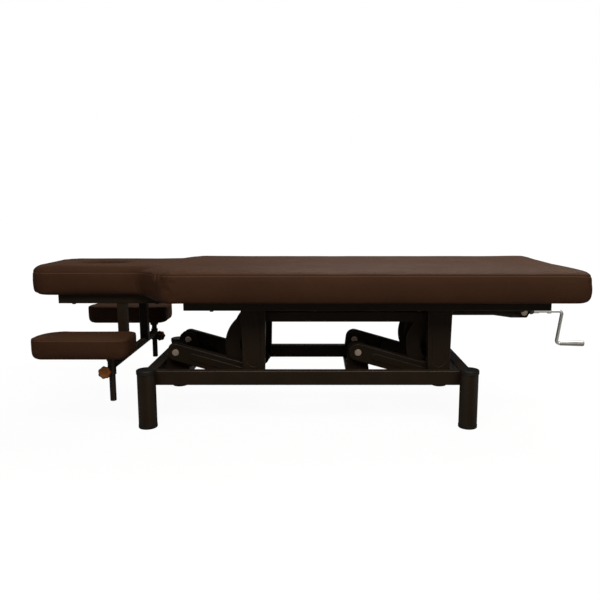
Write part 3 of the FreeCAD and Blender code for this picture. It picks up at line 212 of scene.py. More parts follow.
class FinishSettings(bpy.types.PropertyGroup):
    """Colours of the finishes"""
    vinyl: colour("Vinyl", "Brown leatherette", (0.066, 0.029, 0.0155))
    vinyl_dark: colour("Vinyl shade", "Leatherette in dark patches", (0.054, 0.0232, 0.0122))
    # painted highlight: lighter vinyl put along the seams and on the crests of the puckers, where
    # light catches them
    vinyl_painted_highlight: colour("Vinyl, rubbed", "Leatherette along its seams", (0.118, 0.060, 0.037))
    paint: colour("Frame paint", "Dark brown-black powder coat", (0.0255, 0.0163, 0.0098))
    paint_worn: colour("Frame paint, dusty", "Powder coat under dust", (0.046, 0.034, 0.024))
    knob: colour("Knobs", "Copper-brown plastic", (0.235, 0.079, 0.021))
    plywood: colour("Board", "Dark stained plywood", (0.030, 0.021, 0.015))
    zinc: colour("Zinc", "Steel with a faint yellow zinc plate", (0.51, 0.41, 0.33))
    oiled: colour("Oiled steel", "Oiled steel of the screw and its joint", (0.115, 0.105, 0.095))
    chrome: colour("Chrome", "Polished chrome", (0.92, 0.905, 0.89))
    handled: colour("Chrome, handled", "Chrome of the grip, dulled by hands", (0.46, 0.445, 0.43))
    plastic: colour("Black plastic", "Plugs and caps", (0.014, 0.012, 0.010))
    rubber: colour("Rubber", "Feet", (0.012, 0.011, 0.010))
    # painted shade: near-black colour of the tube inside the face opening, standing in for its
    # shadow
    painted_shade_lining: colour("Lining", "Dark cloth inside the face opening", (0.010, 0.007, 0.006))


class StageSettings(bpy.types.PropertyGroup):
    """Camera and light"""
    lens: number("Lens", "Focal length in millimetres", 37.36)
    place: FloatVectorProperty(name="Camera place", description="Where the camera stands", size=3,
                               default=(-0.0034, -2.4426, 0.7921), subtype="TRANSLATION")
    pitch: number("Camera pitch", "How far the camera looks down", 0.149, subtype="ANGLE")
    shift: number("Sideways shift", "Lens shift of the photograph's framing", -0.0276)
    overhead: number("Overhead light", "Power of the soft box over the back", 60.0, unit="POWER")
    fill: number("Front light", "Power of the front soft box", 84.0, unit="POWER")
    warmth: colour("Light colour", "Slightly warm white of both soft boxes", (1.0, 0.96, 0.88))
    surround: number("Surround", "Strength of the even light all round", 0.05)


# shader nodes

def give(tree, socket, value):
    """Sets a socket, or links it when the value is another socket."""
    if isinstance(value, bpy.types.NodeSocket):
        tree.links.new(value, socket)
    else:
        socket.default_value = value


def add(tree, kind, inputs=None, **settings):
    """A node with its settings made and its inputs given as values or linked sockets."""
    node = tree.nodes.new(kind)
    for name, value in settings.items():
        setattr(node, name, value)
    for name, value in (inputs or {}).items():
        give(tree, node.inputs[name], value)
    return node


def blend(tree, factor, first, second):
    """The colour between two others."""
    node = add(tree, "ShaderNodeMix", {0: factor, 6: first, 7: second}, data_type="RGBA")
    return node.outputs[2]


def maths(tree, operation, first, second=0.0, third=0.0):
    node = add(tree, "ShaderNodeMath", {0: first, 1: second, 2: third}, operation=operation)
    return node.outputs[0]


def spread(tree, value, low, high, to_low=0.0, to_high=1.0):
    """A value's range mapped to another, clamped."""
    node = add(tree, "ShaderNodeMapRange", {"Value": value, "From Min": low, "From Max": high,
                                            "To Min": to_low, "To Max": to_high})
    return node.outputs["Result"]


def effect(name, inputs, outputs):
    """An empty shader group with named sockets; returns its tree, given values and results."""
    tree = bpy.data.node_groups.new(name, "ShaderNodeTree")
    for label, kind, value in inputs:
        socket = tree.interface.new_socket(name=label, in_out="INPUT", socket_type=kind)
        socket.default_value = value
    for label, kind in outputs:
        tree.interface.new_socket(name=label, in_out="OUTPUT", socket_type=kind)
    given = tree.nodes.new("NodeGroupInput").outputs
    return tree, given, tree.nodes.new("NodeGroupOutput").inputs


def place(tree):
    return tree.nodes.new("ShaderNodeTexCoord").outputs["Object"]


def clouds(tree, at, scale, **more):
    return add(tree, "ShaderNodeTexNoise", {"Vector": at, "Scale": scale, **more}).outputs


def facing(tree, axis):
    """One part of the surface's normal."""
    normal = tree.nodes.new("ShaderNodeNewGeometry").outputs["Normal"]
    return add(tree, "ShaderNodeSeparateXYZ", {0: normal}).outputs[axis]


def pebble_grain():
    """Leatherette's pebbled emboss: cells with creases between them, at two sizes."""
    drift, finer, fine_height = 0.0022, 2.6, 0.3
    wide_crease, fine_crease = 0.22, 0.25
    tree, given, out = effect("pebble grain", [("Pitch", FLOAT, 420.0)],
                              [("Height", FLOAT), ("Crease", FLOAT)])
    at = place(tree)
    wander = clouds(tree, at, 90.0, Detail=2.0)["Color"]
    strayed = add(tree, "ShaderNodeVectorMath", {0: wander, 1: (drift, drift, drift)},
                  operation="MULTIPLY")
    moved = add(tree, "ShaderNodeVectorMath", {0: at, 1: strayed.outputs["Vector"]},
                operation="ADD").outputs["Vector"]

    def cells(pitch, crease):
        made = add(tree, "ShaderNodeTexVoronoi", {"Vector": moved, "Scale": pitch},
                   feature="DISTANCE_TO_EDGE")
        return spread(tree, made.outputs["Distance"], 0.0, crease)

    large = cells(given["Pitch"], wide_crease)
    small = cells(maths(tree, "MULTIPLY", given["Pitch"], finer), fine_crease)
    tree.links.new(maths(tree, "MULTIPLY_ADD", small, fine_height, large), out["Height"])
    tree.links.new(maths(tree, "SUBTRACT", 1.0, large), out["Crease"])


def mottle():
    """Slow patches of two tones."""
    tree, given, out = effect("mottle", [("Tone", COLOUR, (0.5, 0.5, 0.5, 1.0)),
                                         ("Other tone", COLOUR, (0.4, 0.4, 0.4, 1.0)),
                                         ("Patch", FLOAT, 6.0)],
                              [("Color", COLOUR), ("Patches", FLOAT)])
    broad = clouds(tree, place(tree), given["Patch"], Detail=4.0, Roughness=0.62)
    patches = spread(tree, broad["Fac"], 0.34, 0.66)
    tree.links.new(blend(tree, patches, given["Tone"], given["Other tone"]), out["Color"])
    tree.links.new(patches, out["Patches"])


def fine_skin():
    """The fine uneven skin of powder coat, moulded plastic and plating."""
    wave_height = 0.8
    tree, given, out = effect("fine skin", [("Pitch", FLOAT, 900.0), ("Wave", FLOAT, 140.0)],
                              [("Height", FLOAT)])
    at = place(tree)
    speck = clouds(tree, at, given["Pitch"], Detail=2.0)["Fac"]
    wave = clouds(tree, at, given["Wave"], Detail=1.0)["Fac"]
    tree.links.new(maths(tree, "MULTIPLY_ADD", wave, wave_height, speck), out["Height"])


def settled_dust():
    """A thin uneven film on faces that look up."""
    tree, given, out = effect("settled dust", [("Amount", FLOAT, 0.3)], [("Film", FLOAT)])
    upward = spread(tree, facing(tree, "Z"), 0.3, 1.0)
    cloud = clouds(tree, place(tree), 24.0, Detail=5.0)["Fac"]
    film = maths(tree, "MULTIPLY", upward, spread(tree, cloud, 0.35, 0.7))
    tree.links.new(maths(tree, "MULTIPLY", film, given["Amount"]), out["Film"])


def rubbed_rounds():
    """Bends and rounded edges, which hands polish: normals between across and along the table."""
    tree, given, out = effect("rubbed rounds", [("Amount", FLOAT, 0.8)], [("Polish", FLOAT)])
    across = maths(tree, "ABSOLUTE", facing(tree, "Y"))
    rounded = maths(tree, "MULTIPLY", spread(tree, across, 0.10, 0.35),
                    spread(tree, across, 0.99, 0.92))
    tree.links.new(maths(tree, "MULTIPLY", rounded, given["Amount"]), out["Polish"])


def fine_scratches():
    """Short hairline scratches of handled metal."""
    tree, given, out = effect("fine scratches", [("Pitch", FLOAT, 260.0)], [("Lines", FLOAT)])
    stretched = add(tree, "ShaderNodeMapping", {"Vector": place(tree), "Scale": (0.12, 1.0, 1.0),
                                                "Rotation": (0.3, 0.5, 0.2)})
    lines = clouds(tree, stretched.outputs["Vector"], given["Pitch"], Detail=3.0, Roughness=0.7)
    tree.links.new(spread(tree, lines["Fac"], 0.5, 0.72), out["Lines"])


def finish(name, **constants):
    """A material with its shader; constants go on the shader's own sockets."""
    material = bpy.data.materials.new(name)
    material.use_nodes = True
    tree = material.node_tree
    shader = tree.nodes["Principled BSDF"]
    for label, value in constants.items():
        socket = label.replace("_", " ").title().replace("Ior", "IOR")
        shader.inputs[socket].default_value = value
    return material, tree, shader


def place_effect(tree, name, **values):
    """A shared effect's results, with its inputs given."""
    node = tree.nodes.new("ShaderNodeGroup")
    node.node_tree = bpy.data.node_groups[name]
    for label, value in values.items():
        give(tree, node.inputs[label.replace("_", " ").capitalize()], value)
    return node.outputs


def into(tree, shader, **values):
    """Links values into a shader's inputs."""
    for label, value in values.items():
        tree.links.new(value, shader.inputs[label.replace("_", " ").title()])


def bump(tree, shader, height, distance, strength):
    node = add(tree, "ShaderNodeBump",
               {"Height": height, "Distance": distance, "Strength": strength})
    into(tree, shader, normal=node.outputs["Normal"])


def rgba(tone):
    return (*tone, 1.0)


def patched(tree, tone, darker, patch):
    """Patches of a tone and of a darker share of it."""
    other = rgba([c * darker for c in tone])
    return place_effect(tree, "mottle", Tone=rgba(tone), Other_tone=other, Patch=patch)


def vinyl_finish(colours):
    painted_crease_shade, crease_seen = 0.35, 0.35
    rough, crease_rough, patch_rough = 0.44, 0.16, 0.07
    material, tree, shader = finish("brown vinyl", specular_ior_level=0.05)
    tones = place_effect(tree, "mottle", Tone=rgba(colours.vinyl),
                         Other_tone=rgba(colours.vinyl_dark), Patch=5.0)
    grain = place_effect(tree, "pebble grain", Pitch=420.0)
    creased = maths(tree, "MULTIPLY", grain["Crease"], crease_seen)
    sewn = add(tree, "ShaderNodeAttribute", attribute_name="sewn").outputs["Fac"]
    # painted shade: the grain's creases are darkened in colour
    shade = rgba([c * painted_crease_shade for c in colours.vinyl_dark])
    tone = blend(tree, creased, tones["Color"], shade)
    # painted highlight: the seam line and the crests of the puckers, given by the sewn attribute,
    # take the lighter vinyl
    tone = blend(tree, sewn, tone, rgba(colours.vinyl_painted_highlight))
    matt = maths(tree, "MULTIPLY_ADD", grain["Crease"], crease_rough, rough)
    matt = maths(tree, "MULTIPLY_ADD", tones["Patches"], patch_rough, matt)
    into(tree, shader, base_color=tone, roughness=matt)
    bump(tree, shader, grain["Height"], 0.00022, 0.7)
    return material


def paint_finish(colours):
    rough, patch_rough, dust_rough = 0.36, 0.10, 0.5
    material, tree, shader = finish("frame powder coat", specular_ior_level=0.07,
                                    coat_roughness=0.24)
    tones = patched(tree, colours.paint, 0.78, 9.0)
    film = place_effect(tree, "settled dust", Amount=0.35)["Film"]
    tone = blend(tree, film, tones["Color"], rgba(colours.paint_worn))
    skin = place_effect(tree, "fine skin", Pitch=850.0, Wave=170.0)
    matt = maths(tree, "MULTIPLY_ADD", tones["Patches"], patch_rough, rough)
    matt = maths(tree, "ADD", matt, maths(tree, "MULTIPLY", film, dust_rough))
    polish = place_effect(tree, "rubbed rounds", Amount=0.28)["Polish"]
    into(tree, shader, base_color=tone, roughness=matt, coat_weight=polish)
    bump(tree, shader, skin["Height"], 0.00012, 0.6)
    return material


def metal_finish(name, tone, roughness, scratched):
    material, tree, shader = finish(name, metallic=1.0)
    lines = place_effect(tree, "fine scratches", Pitch=320.0)["Lines"]
    tones = patched(tree, tone, 0.86, 60.0)
    matt = maths(tree, "MULTIPLY_ADD", lines, scratched, roughness)
    into(tree, shader, base_color=tones["Color"], roughness=matt)
    skin = place_effect(tree, "fine skin", Pitch=1200.0, Wave=300.0)
    bump(tree, shader, skin["Height"], 0.00003, 0.5)
    return material


def moulded_finish(name, tone, roughness, texture):
    patch_rough, dust_keeps, dust_adds = 0.12, 0.7, 0.03
    material, tree, shader = finish(name, specular_ior_level=0.2)
    tones = patched(tree, tone, 0.8, 45.0)
    film = place_effect(tree, "settled dust", Amount=0.2)["Film"]
    dusty = rgba([dust_keeps * c + dust_adds for c in tone])
    tone = blend(tree, film, tones["Color"], dusty)
    matt = maths(tree, "MULTIPLY_ADD", tones["Patches"], patch_rough, roughness)
    into(tree, shader, base_color=tone, roughness=matt)
    skin = place_effect(tree, "fine skin", Pitch=1400.0, Wave=260.0)
    bump(tree, shader, skin["Height"], texture, 0.7)
    return material


def plywood_finish(colours):
    """Stained plywood: long grain on the faces, thin plies round the edge."""
    ply, dark_share, rough_dark, rough_pale = 0.0015, 0.55, 0.72, 0.55
    material, tree, shader = finish("stained plywood")
    at = place(tree)
    along = add(tree, "ShaderNodeMapping", {"Vector": at, "Scale": (0.9, 14.0, 14.0)})
    grain = clouds(tree, along.outputs["Vector"], 9.0, Detail=6.0, Distortion=0.6)
    figure = spread(tree, grain["Fac"], 0.3, 0.7)
    height = add(tree, "ShaderNodeSeparateXYZ", {0: at}).outputs["Z"]
    plies = spread(tree, maths(tree, "PINGPONG", height, ply), 0.0003, 0.0012)
    flat = spread(tree, maths(tree, "ABSOLUTE", facing(tree, "Z")), 0.4, 0.8)
    edge = maths(tree, "SUBTRACT", 1.0, flat)
    pattern = maths(tree, "ADD", maths(tree, "MULTIPLY", figure, flat),
                    maths(tree, "MULTIPLY", plies, edge))
    dark = rgba([c * dark_share for c in colours.plywood])
    tone = blend(tree, pattern, dark, rgba(colours.plywood))
    matt = spread(tree, pattern, 0.0, 1.0, rough_dark, rough_pale)
    into(tree, shader, base_color=tone, roughness=matt)
    bump(tree, shader, pattern, 0.0002, 0.5)
    return material


# meshes

def mesh_of(name, bm):
    """A bmesh as mesh data; the bmesh is freed."""
    mesh = bpy.data.meshes.new(name)
    bm.to_mesh(mesh)
    bm.free()
    return mesh


def placed(name, data):
    """An object at the origin of the scene."""
    made = bpy.data.objects.new(name, data)
    bpy.context.scene.collection.objects.link(made)
    return made


def new_piece(name, bm, material, body):
    """An object at the origin from a bmesh, smooth, riding on a body."""
    bmesh.ops.recalc_face_normals(bm, faces=bm.faces[:])
    mesh = mesh_of(name, bm)
    mesh.shade_smooth()
    piece = placed(name, mesh)
    mesh.materials.append(bpy.data.materials[material])
    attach(piece, body)
    return piece


def settled(piece):
    """A piece's mesh with its modifiers worked in, and the modifiers gone."""
    graph = bpy.context.evaluated_depsgraph_get()
    mesh = bpy.data.meshes.new_from_object(piece.evaluated_get(graph))
    old = piece.data
    piece.modifiers.clear()
    piece.data = mesh
    bpy.data.meshes.remove(old)


def sweep(bm, vert, centre, angle, steps):
    """Carries a vertex round an upright axis and returns the last one of the arc."""
    bmesh.ops.spin(bm, geom=[vert], cent=(centre[0], centre[1], vert.co.z), axis=(0, 0, 1),
                   angle=angle, steps=steps)
    bm.verts.ensure_lookup_table()
    return bm.verts[-1]


def run_to(bm, vert, x, y):
    """Extrudes a vertex to a new place on its level."""
    made = bmesh.ops.extrude_vert_indiv(bm, verts=[vert])["verts"][0]
    made.co = (x, y, vert.co.z)
    return made


def at_level(bm, z):
    return [e for e in bm.edges if all(abs(v.co.z - z) < ON_LEVEL for v in e.verts)]


def soften(bm, edges, offset, segments):
    bmesh.ops.bevel(bm, geom=edges, offset=offset, affect="EDGES", segments=segments,
                    profile=0.5, material=-1)


def raise_plan(bm, depth):
    """Closes a plan loop with a face and raises it to a solid."""
    face = bmesh.ops.edgeloop_fill(bm, edges=bm.edges[:])["faces"][0]
    made = bmesh.ops.extrude_face_region(bm, geom=[face])["geom"]
    raised = [g for g in made if isinstance(g, bmesh.types.BMVert)]
    bmesh.ops.translate(bm, verts=raised, vec=(0, 0, depth))
    bmesh.ops.recalc_face_normals(bm, faces=bm.faces[:])


def end_face(bm, upward):
    """A solid's flat top (1) or underside (-1)."""
    return [f for f in bm.faces if f.normal.z * upward > LEVEL_FACE][0]


def carry_on(bm, upward, steps):
    """Carries a flat end on by steps of inset and height, so that the side is curved."""
    cap = end_face(bm, upward)
    for inset, height in steps:
        bmesh.ops.inset_region(bm, faces=[cap], thickness=inset, use_even_offset=True)
        bmesh.ops.translate(bm, verts=cap.verts[:], vec=(0, 0, upward * height))


def turn_on(bm, upward, steps):
    """Carries a disc's flat end on by steps of size and height."""
    cap = end_face(bm, upward)
    for size, height in steps:
        bmesh.ops.inset_region(bm, faces=[cap], thickness=ON_LEVEL, use_even_offset=True)
        bmesh.ops.scale(bm, verts=cap.verts[:], vec=(size, size, 1))
        bmesh.ops.translate(bm, verts=cap.verts[:], vec=(0, 0, upward * height))


def swept_block(bm, low, high, corner, swept):
    """A block with round upright corners, of which the far one at the head end is wide."""
    middle = Matrix.Translation((low + high) / 2)
    bmesh.ops.create_cube(bm, size=1.0, matrix=middle @ Matrix.Diagonal((*(high - low), 1)))
    for x in (low.x, high.x):
        for y in (low.y, high.y):
            upright = [e for e in bm.edges if all(abs(v.co.x - x) + abs(v.co.y - y) < ON_CORNER
                                                  for v in e.verts)]
            wide = (x, y) == (low.x, high.y)
            soften(bm, upright, swept if wide else corner, CORNER_STEPS)


def half_width(pad, x):
    """Half the long cushion's width at a place along it."""
    widened = ease(x, pad.shoulder_from, pad.shoulder_to)
    return pad.head_half + (PAD_HIGH.y - pad.head_half) * widened


def pad_plan(bm, pad, z, inset):
    """Plan of the long cushion, set in: a body that narrows by an S-curve to the head section."""
    head_x, foot_x = PAD_LOW.x + inset, PAD_HIGH.x - inset
    body, head = PAD_HIGH.y - inset, pad.head_half - inset
    run = pad.shoulder_to - pad.shoulder_from
    turn = pad.shoulder_slope
    bend = (run - (body - head) / math.tan(turn)) / (2 * math.tan(turn / 2))
    quarter = math.pi / 2
    head_round, foot_round = pad.head_corner, pad.foot_corner
    vert = bm.verts.new((head_x, 0, z))
    vert = run_to(bm, vert, head_x, head - head_round)
    vert = sweep(bm, vert, (head_x + head_round, head - head_round), -quarter, CORNER_STEPS)
    vert = run_to(bm, vert, pad.shoulder_from, head)
    vert = sweep(bm, vert, (pad.shoulder_from, head + bend), turn, BEND_STEPS)
    vert = run_to(bm, vert, pad.shoulder_to - bend * math.sin(turn),
                  body - bend * (1 - math.cos(turn)))
    vert = sweep(bm, vert, (pad.shoulder_to, body - bend), -turn, BEND_STEPS)
    vert = run_to(bm, vert, foot_x - foot_round, body)
    vert = sweep(bm, vert, (foot_x - foot_round, body - foot_round), -quarter, BEND_STEPS)
    run_to(bm, vert, foot_x, 0)
    bmesh.ops.mirror(bm, geom=bm.verts[:] + bm.edges[:], axis="Y", merge_dist=ON_CORNER)


def opening_tube(bm, pad, radius, low, high, capped):
    """An upright oval tube at the face opening."""
    narrower = (pad.hole_wide / 2 - pad.hole_long / 2 + radius) / radius
    middle = Matrix.Translation((pad.hole_x, 0, (low + high) / 2))
    bmesh.ops.create_cone(bm, cap_ends=capped, segments=OPENING_FACETS, radius1=radius,
                          radius2=radius, depth=high - low,
                          matrix=middle @ Matrix.Diagonal((1, narrower, 1, 1)))


def opening_cutter(pad, low, high):
    """The face opening's shaft as a solid to take away."""
    bm = bmesh.new()
    opening_tube(bm, pad, pad.hole_long / 2, low - CUTTER_PAST, high + CUTTER_PAST, True)
    return placed("opening shaft", mesh_of("opening shaft", bm))


def ease(value, low, high):
    """0 below low, 1 above high, smooth between."""
    t = min(1.0, max(0.0, (value - low) / (high - low)))
    return t * t * (3 - 2 * t)


def remesh(piece, voxel):
    made = piece.modifiers.new("even mesh", "REMESH")
    made.mode = "VOXEL"
    made.voxel_size = voxel
    made.use_smooth_shade = True
    settled(piece)


def sewn_points(piece, low, seam, voxel):
    """The points that hold a cover: its underside and the line of its seam."""
    return [v.index for v in piece.data.vertices
            if v.co.z < low + HELD_UNDER * voxel
            or (abs(v.co.z - seam) < HELD_SEAM * voxel and v.normal.z < LEVEL_FACE)]


def swell(piece, held, cap):
    """Blows a cover up as cloth round the points that are held, each within the cap."""
    scene = bpy.context.scene
    rest = [v.co.copy() for v in piece.data.vertices]
    piece.vertex_groups.new(name="held").add(held, 1.0, "REPLACE")
    cloth = piece.modifiers.new("swell", "CLOTH")
    cloth.settings.use_pressure = True
    cloth.settings.uniform_pressure_force = SWELL_PRESSURE
    cloth.settings.effector_weights.gravity = 0
    cloth.settings.vertex_group_mass = "held"
    cloth.settings.quality = SWELL_QUALITY
    cloth.collision_settings.use_collision = False
    cloth.point_cache.frame_end = SWELL_FRAMES
    for step in range(1, SWELL_FRAMES + 1):
        scene.frame_set(step)
    settled(piece)
    scene.frame_set(1)
    piece.vertex_groups.clear()
    for vert, start in zip(piece.data.vertices, rest):
        move = vert.co - start
        reach = move.length
        if reach > STILL:
            vert.co = start + move * (cap * (1 - math.exp(-reach / cap)) / reach)


def cut_loops(bm, levels):
    """Cuts level loops round a cover."""
    for z in levels:
        bmesh.ops.bisect_plane(bm, geom=bm.verts[:] + bm.edges[:] + bm.faces[:], dist=ON_LEVEL,
                               plane_co=(0, 0, z), plane_no=(0, 0, 1))


def sew(piece, level, sizes):
    """Pulls a cover in to a sewn line at a level, from below and above; marks it for painted
    highlight.
    """
    bm = bmesh.new()
    bm.from_mesh(piece.data)
    below, above, line = sizes.seam_below, sizes.seam_above, sizes.seam_line
    cut_loops(bm, (level - below, level - line, level, level + line))
    bm.normal_update()
    mark = bm.verts.layers.float.new("sewn")
    moves = []
    for vert in bm.verts:
        off = vert.co.z - level
        away = off / above if off > 0 else -off / below
        # the seam line itself gets the full painted highlight
        if abs(off) < ON_LEVEL:
            vert[mark] = 1.0
        if away < 1 and vert.normal.z < ROLLED_FACE:
            moves.append((vert, vert.normal * -sizes.seam_depth * (1 - away) ** 2))
    for vert, move in moves:
        vert.co += move
    bmesh.ops.recalc_face_normals(bm, faces=bm.faces[:])
    bm.to_mesh(piece.data)
    bm.free()
    piece.data.shade_smooth()


def finer_shoulders(piece, pad, seam):
    """Closes the slivers that the seam's loops left, and cuts the gathered shoulders finer."""
    bm = bmesh.new()
    bm.from_mesh(piece.data)
    bmesh.ops.remove_doubles(bm, verts=bm.verts[:], dist=SLIVER)
    fine = [e for e in bm.edges if all(abs(v.co.x - pad.gather_x) < FINE_ALONG
                                       and abs(v.co.y) > pad.head_half
                                       and v.co.z > seam - FINE_DOWN for v in e.verts)]
    bmesh.ops.subdivide_edges(bm, edges=fine, cuts=FINE_CUTS, use_grid_fill=True)
    bm.to_mesh(piece.data)
    bm.free()
    piece.data.shade_smooth()


def refine(piece):
    """One live subdivision."""
    made = piece.modifiers.new("finer", "SUBSURF")
    made.levels = 1
    made.render_levels = 1


def bell(value, low, high, soft):
    """1 between low and high, eased to 0 over a soft length inside each."""
    return ease(value, low, low + soft) * (1 - ease(value, high - soft, high))


def undercut(height, radius):
    """How far a rounded lower edge lies in at a height over its lowest line."""
    if height >= radius:
        return 0.0
    return radius - math.sqrt(max(0.0, radius ** 2 - (radius - max(0.0, height)) ** 2))


def pucker(pad, x, y, z, seam):
    """Share of the gathers' height at a point: short folds that run down from the seam."""
    drop = seam - z
    slope = pad.shoulder_slope
    along = (x - pad.gather_x) * math.cos(slope) + (abs(y) - pad.gather_y) * math.sin(slope)
    outside = 1 - ease(half_width(pad, x) - abs(y), *FADE_IN)
    fade = 1 - ease(drop, *FADE_DOWN) if drop > 0 else 1 - ease(-drop, *FADE_UP)
    lean = (along + pad.gather_bow * (drop - BOWED_FROM) ** 2) / pad.gather_pitch
    folds = sum(high * math.exp(-((lean - at) / FOLD_WIDTH) ** 2) for at, high in GATHERS)
    return outside * fade * folds


def head_fall(pad, x, y, z, low, high, seam):
    """How the head section's own depth moves a point: underside up, seam down, edge rolled."""
    if z <= seam:
        climb = (z - low) / (seam - low)
        return pad.head_lift * (1 - climb) - pad.head_fall * climb
    over = Vector((max(0.0, PAD_LOW.x + pad.head_corner - x),
                   max(0.0, abs(y) - pad.head_half + pad.head_corner)))
    inside = min(1.0, max(0.0, (pad.head_corner - over.length) / pad.head_roll))
    above = min(1.0, (z - seam) / (high - seam))
    top = pad.head_rise * inside - pad.head_slope * (1 - inside) ** 2
    return above * top - (1 - above) * pad.head_fall


def settle_cover(piece, pad, low, high, seam):
    """Puckers the shoulders, draws the sides in, rounds the ends and shapes the head section."""
    head_x, foot_x = PAD_LOW.x, PAD_HIGH.x
    hole_across = pad.hole_long / pad.hole_wide
    # rubbed carries the painted highlight: the seam line's share, raised on the crests of the
    # puckers
    rubbed = piece.data.attributes["sewn"].data
    moves = []
    for vert in piece.data.vertices:
        x, y, z = vert.co
        upright = 1 - abs(vert.normal.z)
        head = 1 - ease(x, pad.shoulder_from + HEAD_FADE[0], pad.shoulder_to + HEAD_FADE[1])
        gathered = pucker(pad, x, y, z, seam)
        lift = pad.gather * gathered * (FOLD_ON_LEVEL + (1 - FOLD_ON_LEVEL) * upright)
        # painted highlight on the crests of the folds
        rubbed[vert.index].value = max(rubbed[vert.index].value, FOLD_PAINTED_HIGHLIGHT * gathered ** 2)
        wave = Vector((x * UNEVEN_ALONG, y * UNEVEN_ALONG, z * UNEVEN_UP))
        soft = noise.noise(wave) * UNEVEN_HEIGHT
        side = pad.waist * bell(x, pad.shoulder_to, foot_x, WAIST_SOFT)
        side *= ease(abs(y), *WAIST_ACROSS)
        rise = head * head_fall(pad, x, y, z, low, high, seam)
        tuck = undercut(z - low, pad.end_round)
        foot = ease(x, foot_x - FOOT_END[0], foot_x - FOOT_END[1])
        climb = min(1.0, max(0.0, (z - low) / (seam - low)))
        bulge = foot * pad.end_bulge * 4 * climb * (1 - climb)
        ends = foot - (1 - ease(x, head_x + HEAD_END[0], head_x + HEAD_END[1]))
        corner = foot * ease(abs(y), *CORNER_ACROSS)
        side += corner * tuck * CORNER_TUCK
        rise -= corner * pad.corner_droop * ease(z, low + DROOP_FROM, high)
        rim = math.hypot(x - pad.hole_x, y * hole_across) - pad.hole_long / 2
        rise -= pad.hole_rim * (1 - ease(rim, 0.0, RIM_WIDE)) * ease(z, high - RIM_DEEP, high)
        shaped = Vector((bulge - ends * tuck, -math.copysign(side, y), rise))
        moves.append(vert.normal * (lift + soft) + shaped)
    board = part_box("deck")[1].z
    for vert, move in zip(piece.data.vertices, moves):
        x, y, _ = vert.co
        steep = SHOULDER_SHARE if pad.shoulder_from < x < pad.shoulder_to else 1.0
        vert.co += move
        if min((half_width(pad, x) - abs(y)) * steep, x - head_x, foot_x - x) > pad.rim:
            vert.co.z = max(vert.co.z, board)


class TABLE_OT_finishes(bpy.types.Operator):
    """Makes the finishes' shared effects, then the finishes, and puts them on the frame's nodes"""
    bl_idname = "table.finishes"
    bl_label = "Finishes"

    def execute(self, context):
        for make in (pebble_grain, mottle, fine_skin, settled_dust, rubbed_rounds, fine_scratches):
            make()
        colours = context.scene.table_finish
        made = {
            "upholstery": vinyl_finish(colours),
            "frame_paint": paint_finish(colours),
            "plywood": plywood_finish(colours),
            "zinc": metal_finish("zinc plate", colours.zinc, 0.30, 0.25),
            "chrome": metal_finish("chrome", colours.chrome, 0.07, 0.10),
            "knob_plastic": moulded_finish("knob plastic", colours.knob, 0.34, 0.00004),
            "black_plastic": moulded_finish("black plastic", colours.plastic, 0.45, 0.00006),
            "rubber": moulded_finish("rubber", colours.rubber, 0.72, 0.00010),
        }
        # near-black finish for the painted shade inside the face opening
        moulded_finish("dark lining", colours.painted_shade_lining, 0.85, 0.00020)
        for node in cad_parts.values():
            for slot in node.material_slots:
                slot.material = made[slot.material.name]
        oiled = metal_finish("oiled steel", colours.oiled, 0.38, 0.25)
        for name in ("crank_joint", "drive_screw"):
            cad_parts[name].material_slots[0].material = oiled
        grip = metal_finish("handled chrome", colours.handled, 0.16, 0.20)
        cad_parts["crank_grip"].material_slots[0].material = grip
        return {"FINISHED"}


class TABLE_OT_cushion(bpy.types.Operator):
    """Makes the long cushion with its shoulders and face opening"""
    bl_idname = "table.cushion"
    bl_label = "Long cushion"

    def cover(self, pad, low, high):
        bm = bmesh.new()
        pad_plan(bm, pad, low + PAD_BELT_AT, pad.inset)
        raise_plan(bm, PAD_BELT)
        carry_on(bm, 1, (*PAD_UP, (PAD_TOP_INSET, high - low - PAD_STEPPED)))
        carry_on(bm, -1, PAD_DOWN)
        soften(bm, at_level(bm, high), pad.edge, EDGE_STEPS)
        soften(bm, at_level(bm, low), pad.low_edge, EDGE_STEPS)
        return new_piece("cushion_cover", bm, "brown vinyl", "top")

    def board(self, pad):
        under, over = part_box("deck")
        bm = bmesh.new()
        pad_plan(bm, pad, under.z, pad.board_inset)
        raise_plan(bm, over.z - under.z)
        soften(bm, at_level(bm, under.z), pad.board_edge, BOARD_STEPS)
        board = new_piece("cushion_board", bm, "stained plywood", "top")
        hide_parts("deck")
        return board

    def painted_shade_lining(self, pad, high):
        # a near-black tube inside the face opening: painted shade that keeps the shaft dark
        radius = pad.hole_long / 2 - PAINTED_SHADE_LINING_GAP
        bm = bmesh.new()
        opening_tube(bm, pad, radius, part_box("deck")[0].z, high - pad.lining_below, False)
        bmesh.ops.recalc_face_normals(bm, faces=bm.faces[:])
        painted_shade_lining = new_piece("opening_lining", bm, "dark lining", "top")
        wall = painted_shade_lining.modifiers.new("thickness", "SOLIDIFY")
        wall.thickness = pad.painted_shade_lining
        wall.offset = -1.0

    def execute(self, context):
        pad = context.scene.table_pad
        low, high = PAD_LOW.z - pad.hang, PAD_HIGH.z - pad.top_drop
        piece = self.cover(pad, low, high)
        board = self.board(pad)
        cutter = opening_cutter(pad, low, high)
        for bored in (piece, board):
            taken = bored.modifiers.new("face opening", "BOOLEAN")
            taken.object = cutter
            taken.solver = "EXACT"
            settled(bored)
        bpy.data.objects.remove(cutter)
        remesh(piece, pad.voxel)
        seam = high - pad.seam_drop
        swell(piece, sewn_points(piece, low, seam, pad.voxel), pad.crown)
        sew(piece, seam, pad)
        finer_shoulders(piece, pad, seam)
        settle_cover(piece, pad, low, high, seam)
        refine(piece)
        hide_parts("cushion")
        self.painted_shade_lining(pad, high)
        return {"FINISHED"}


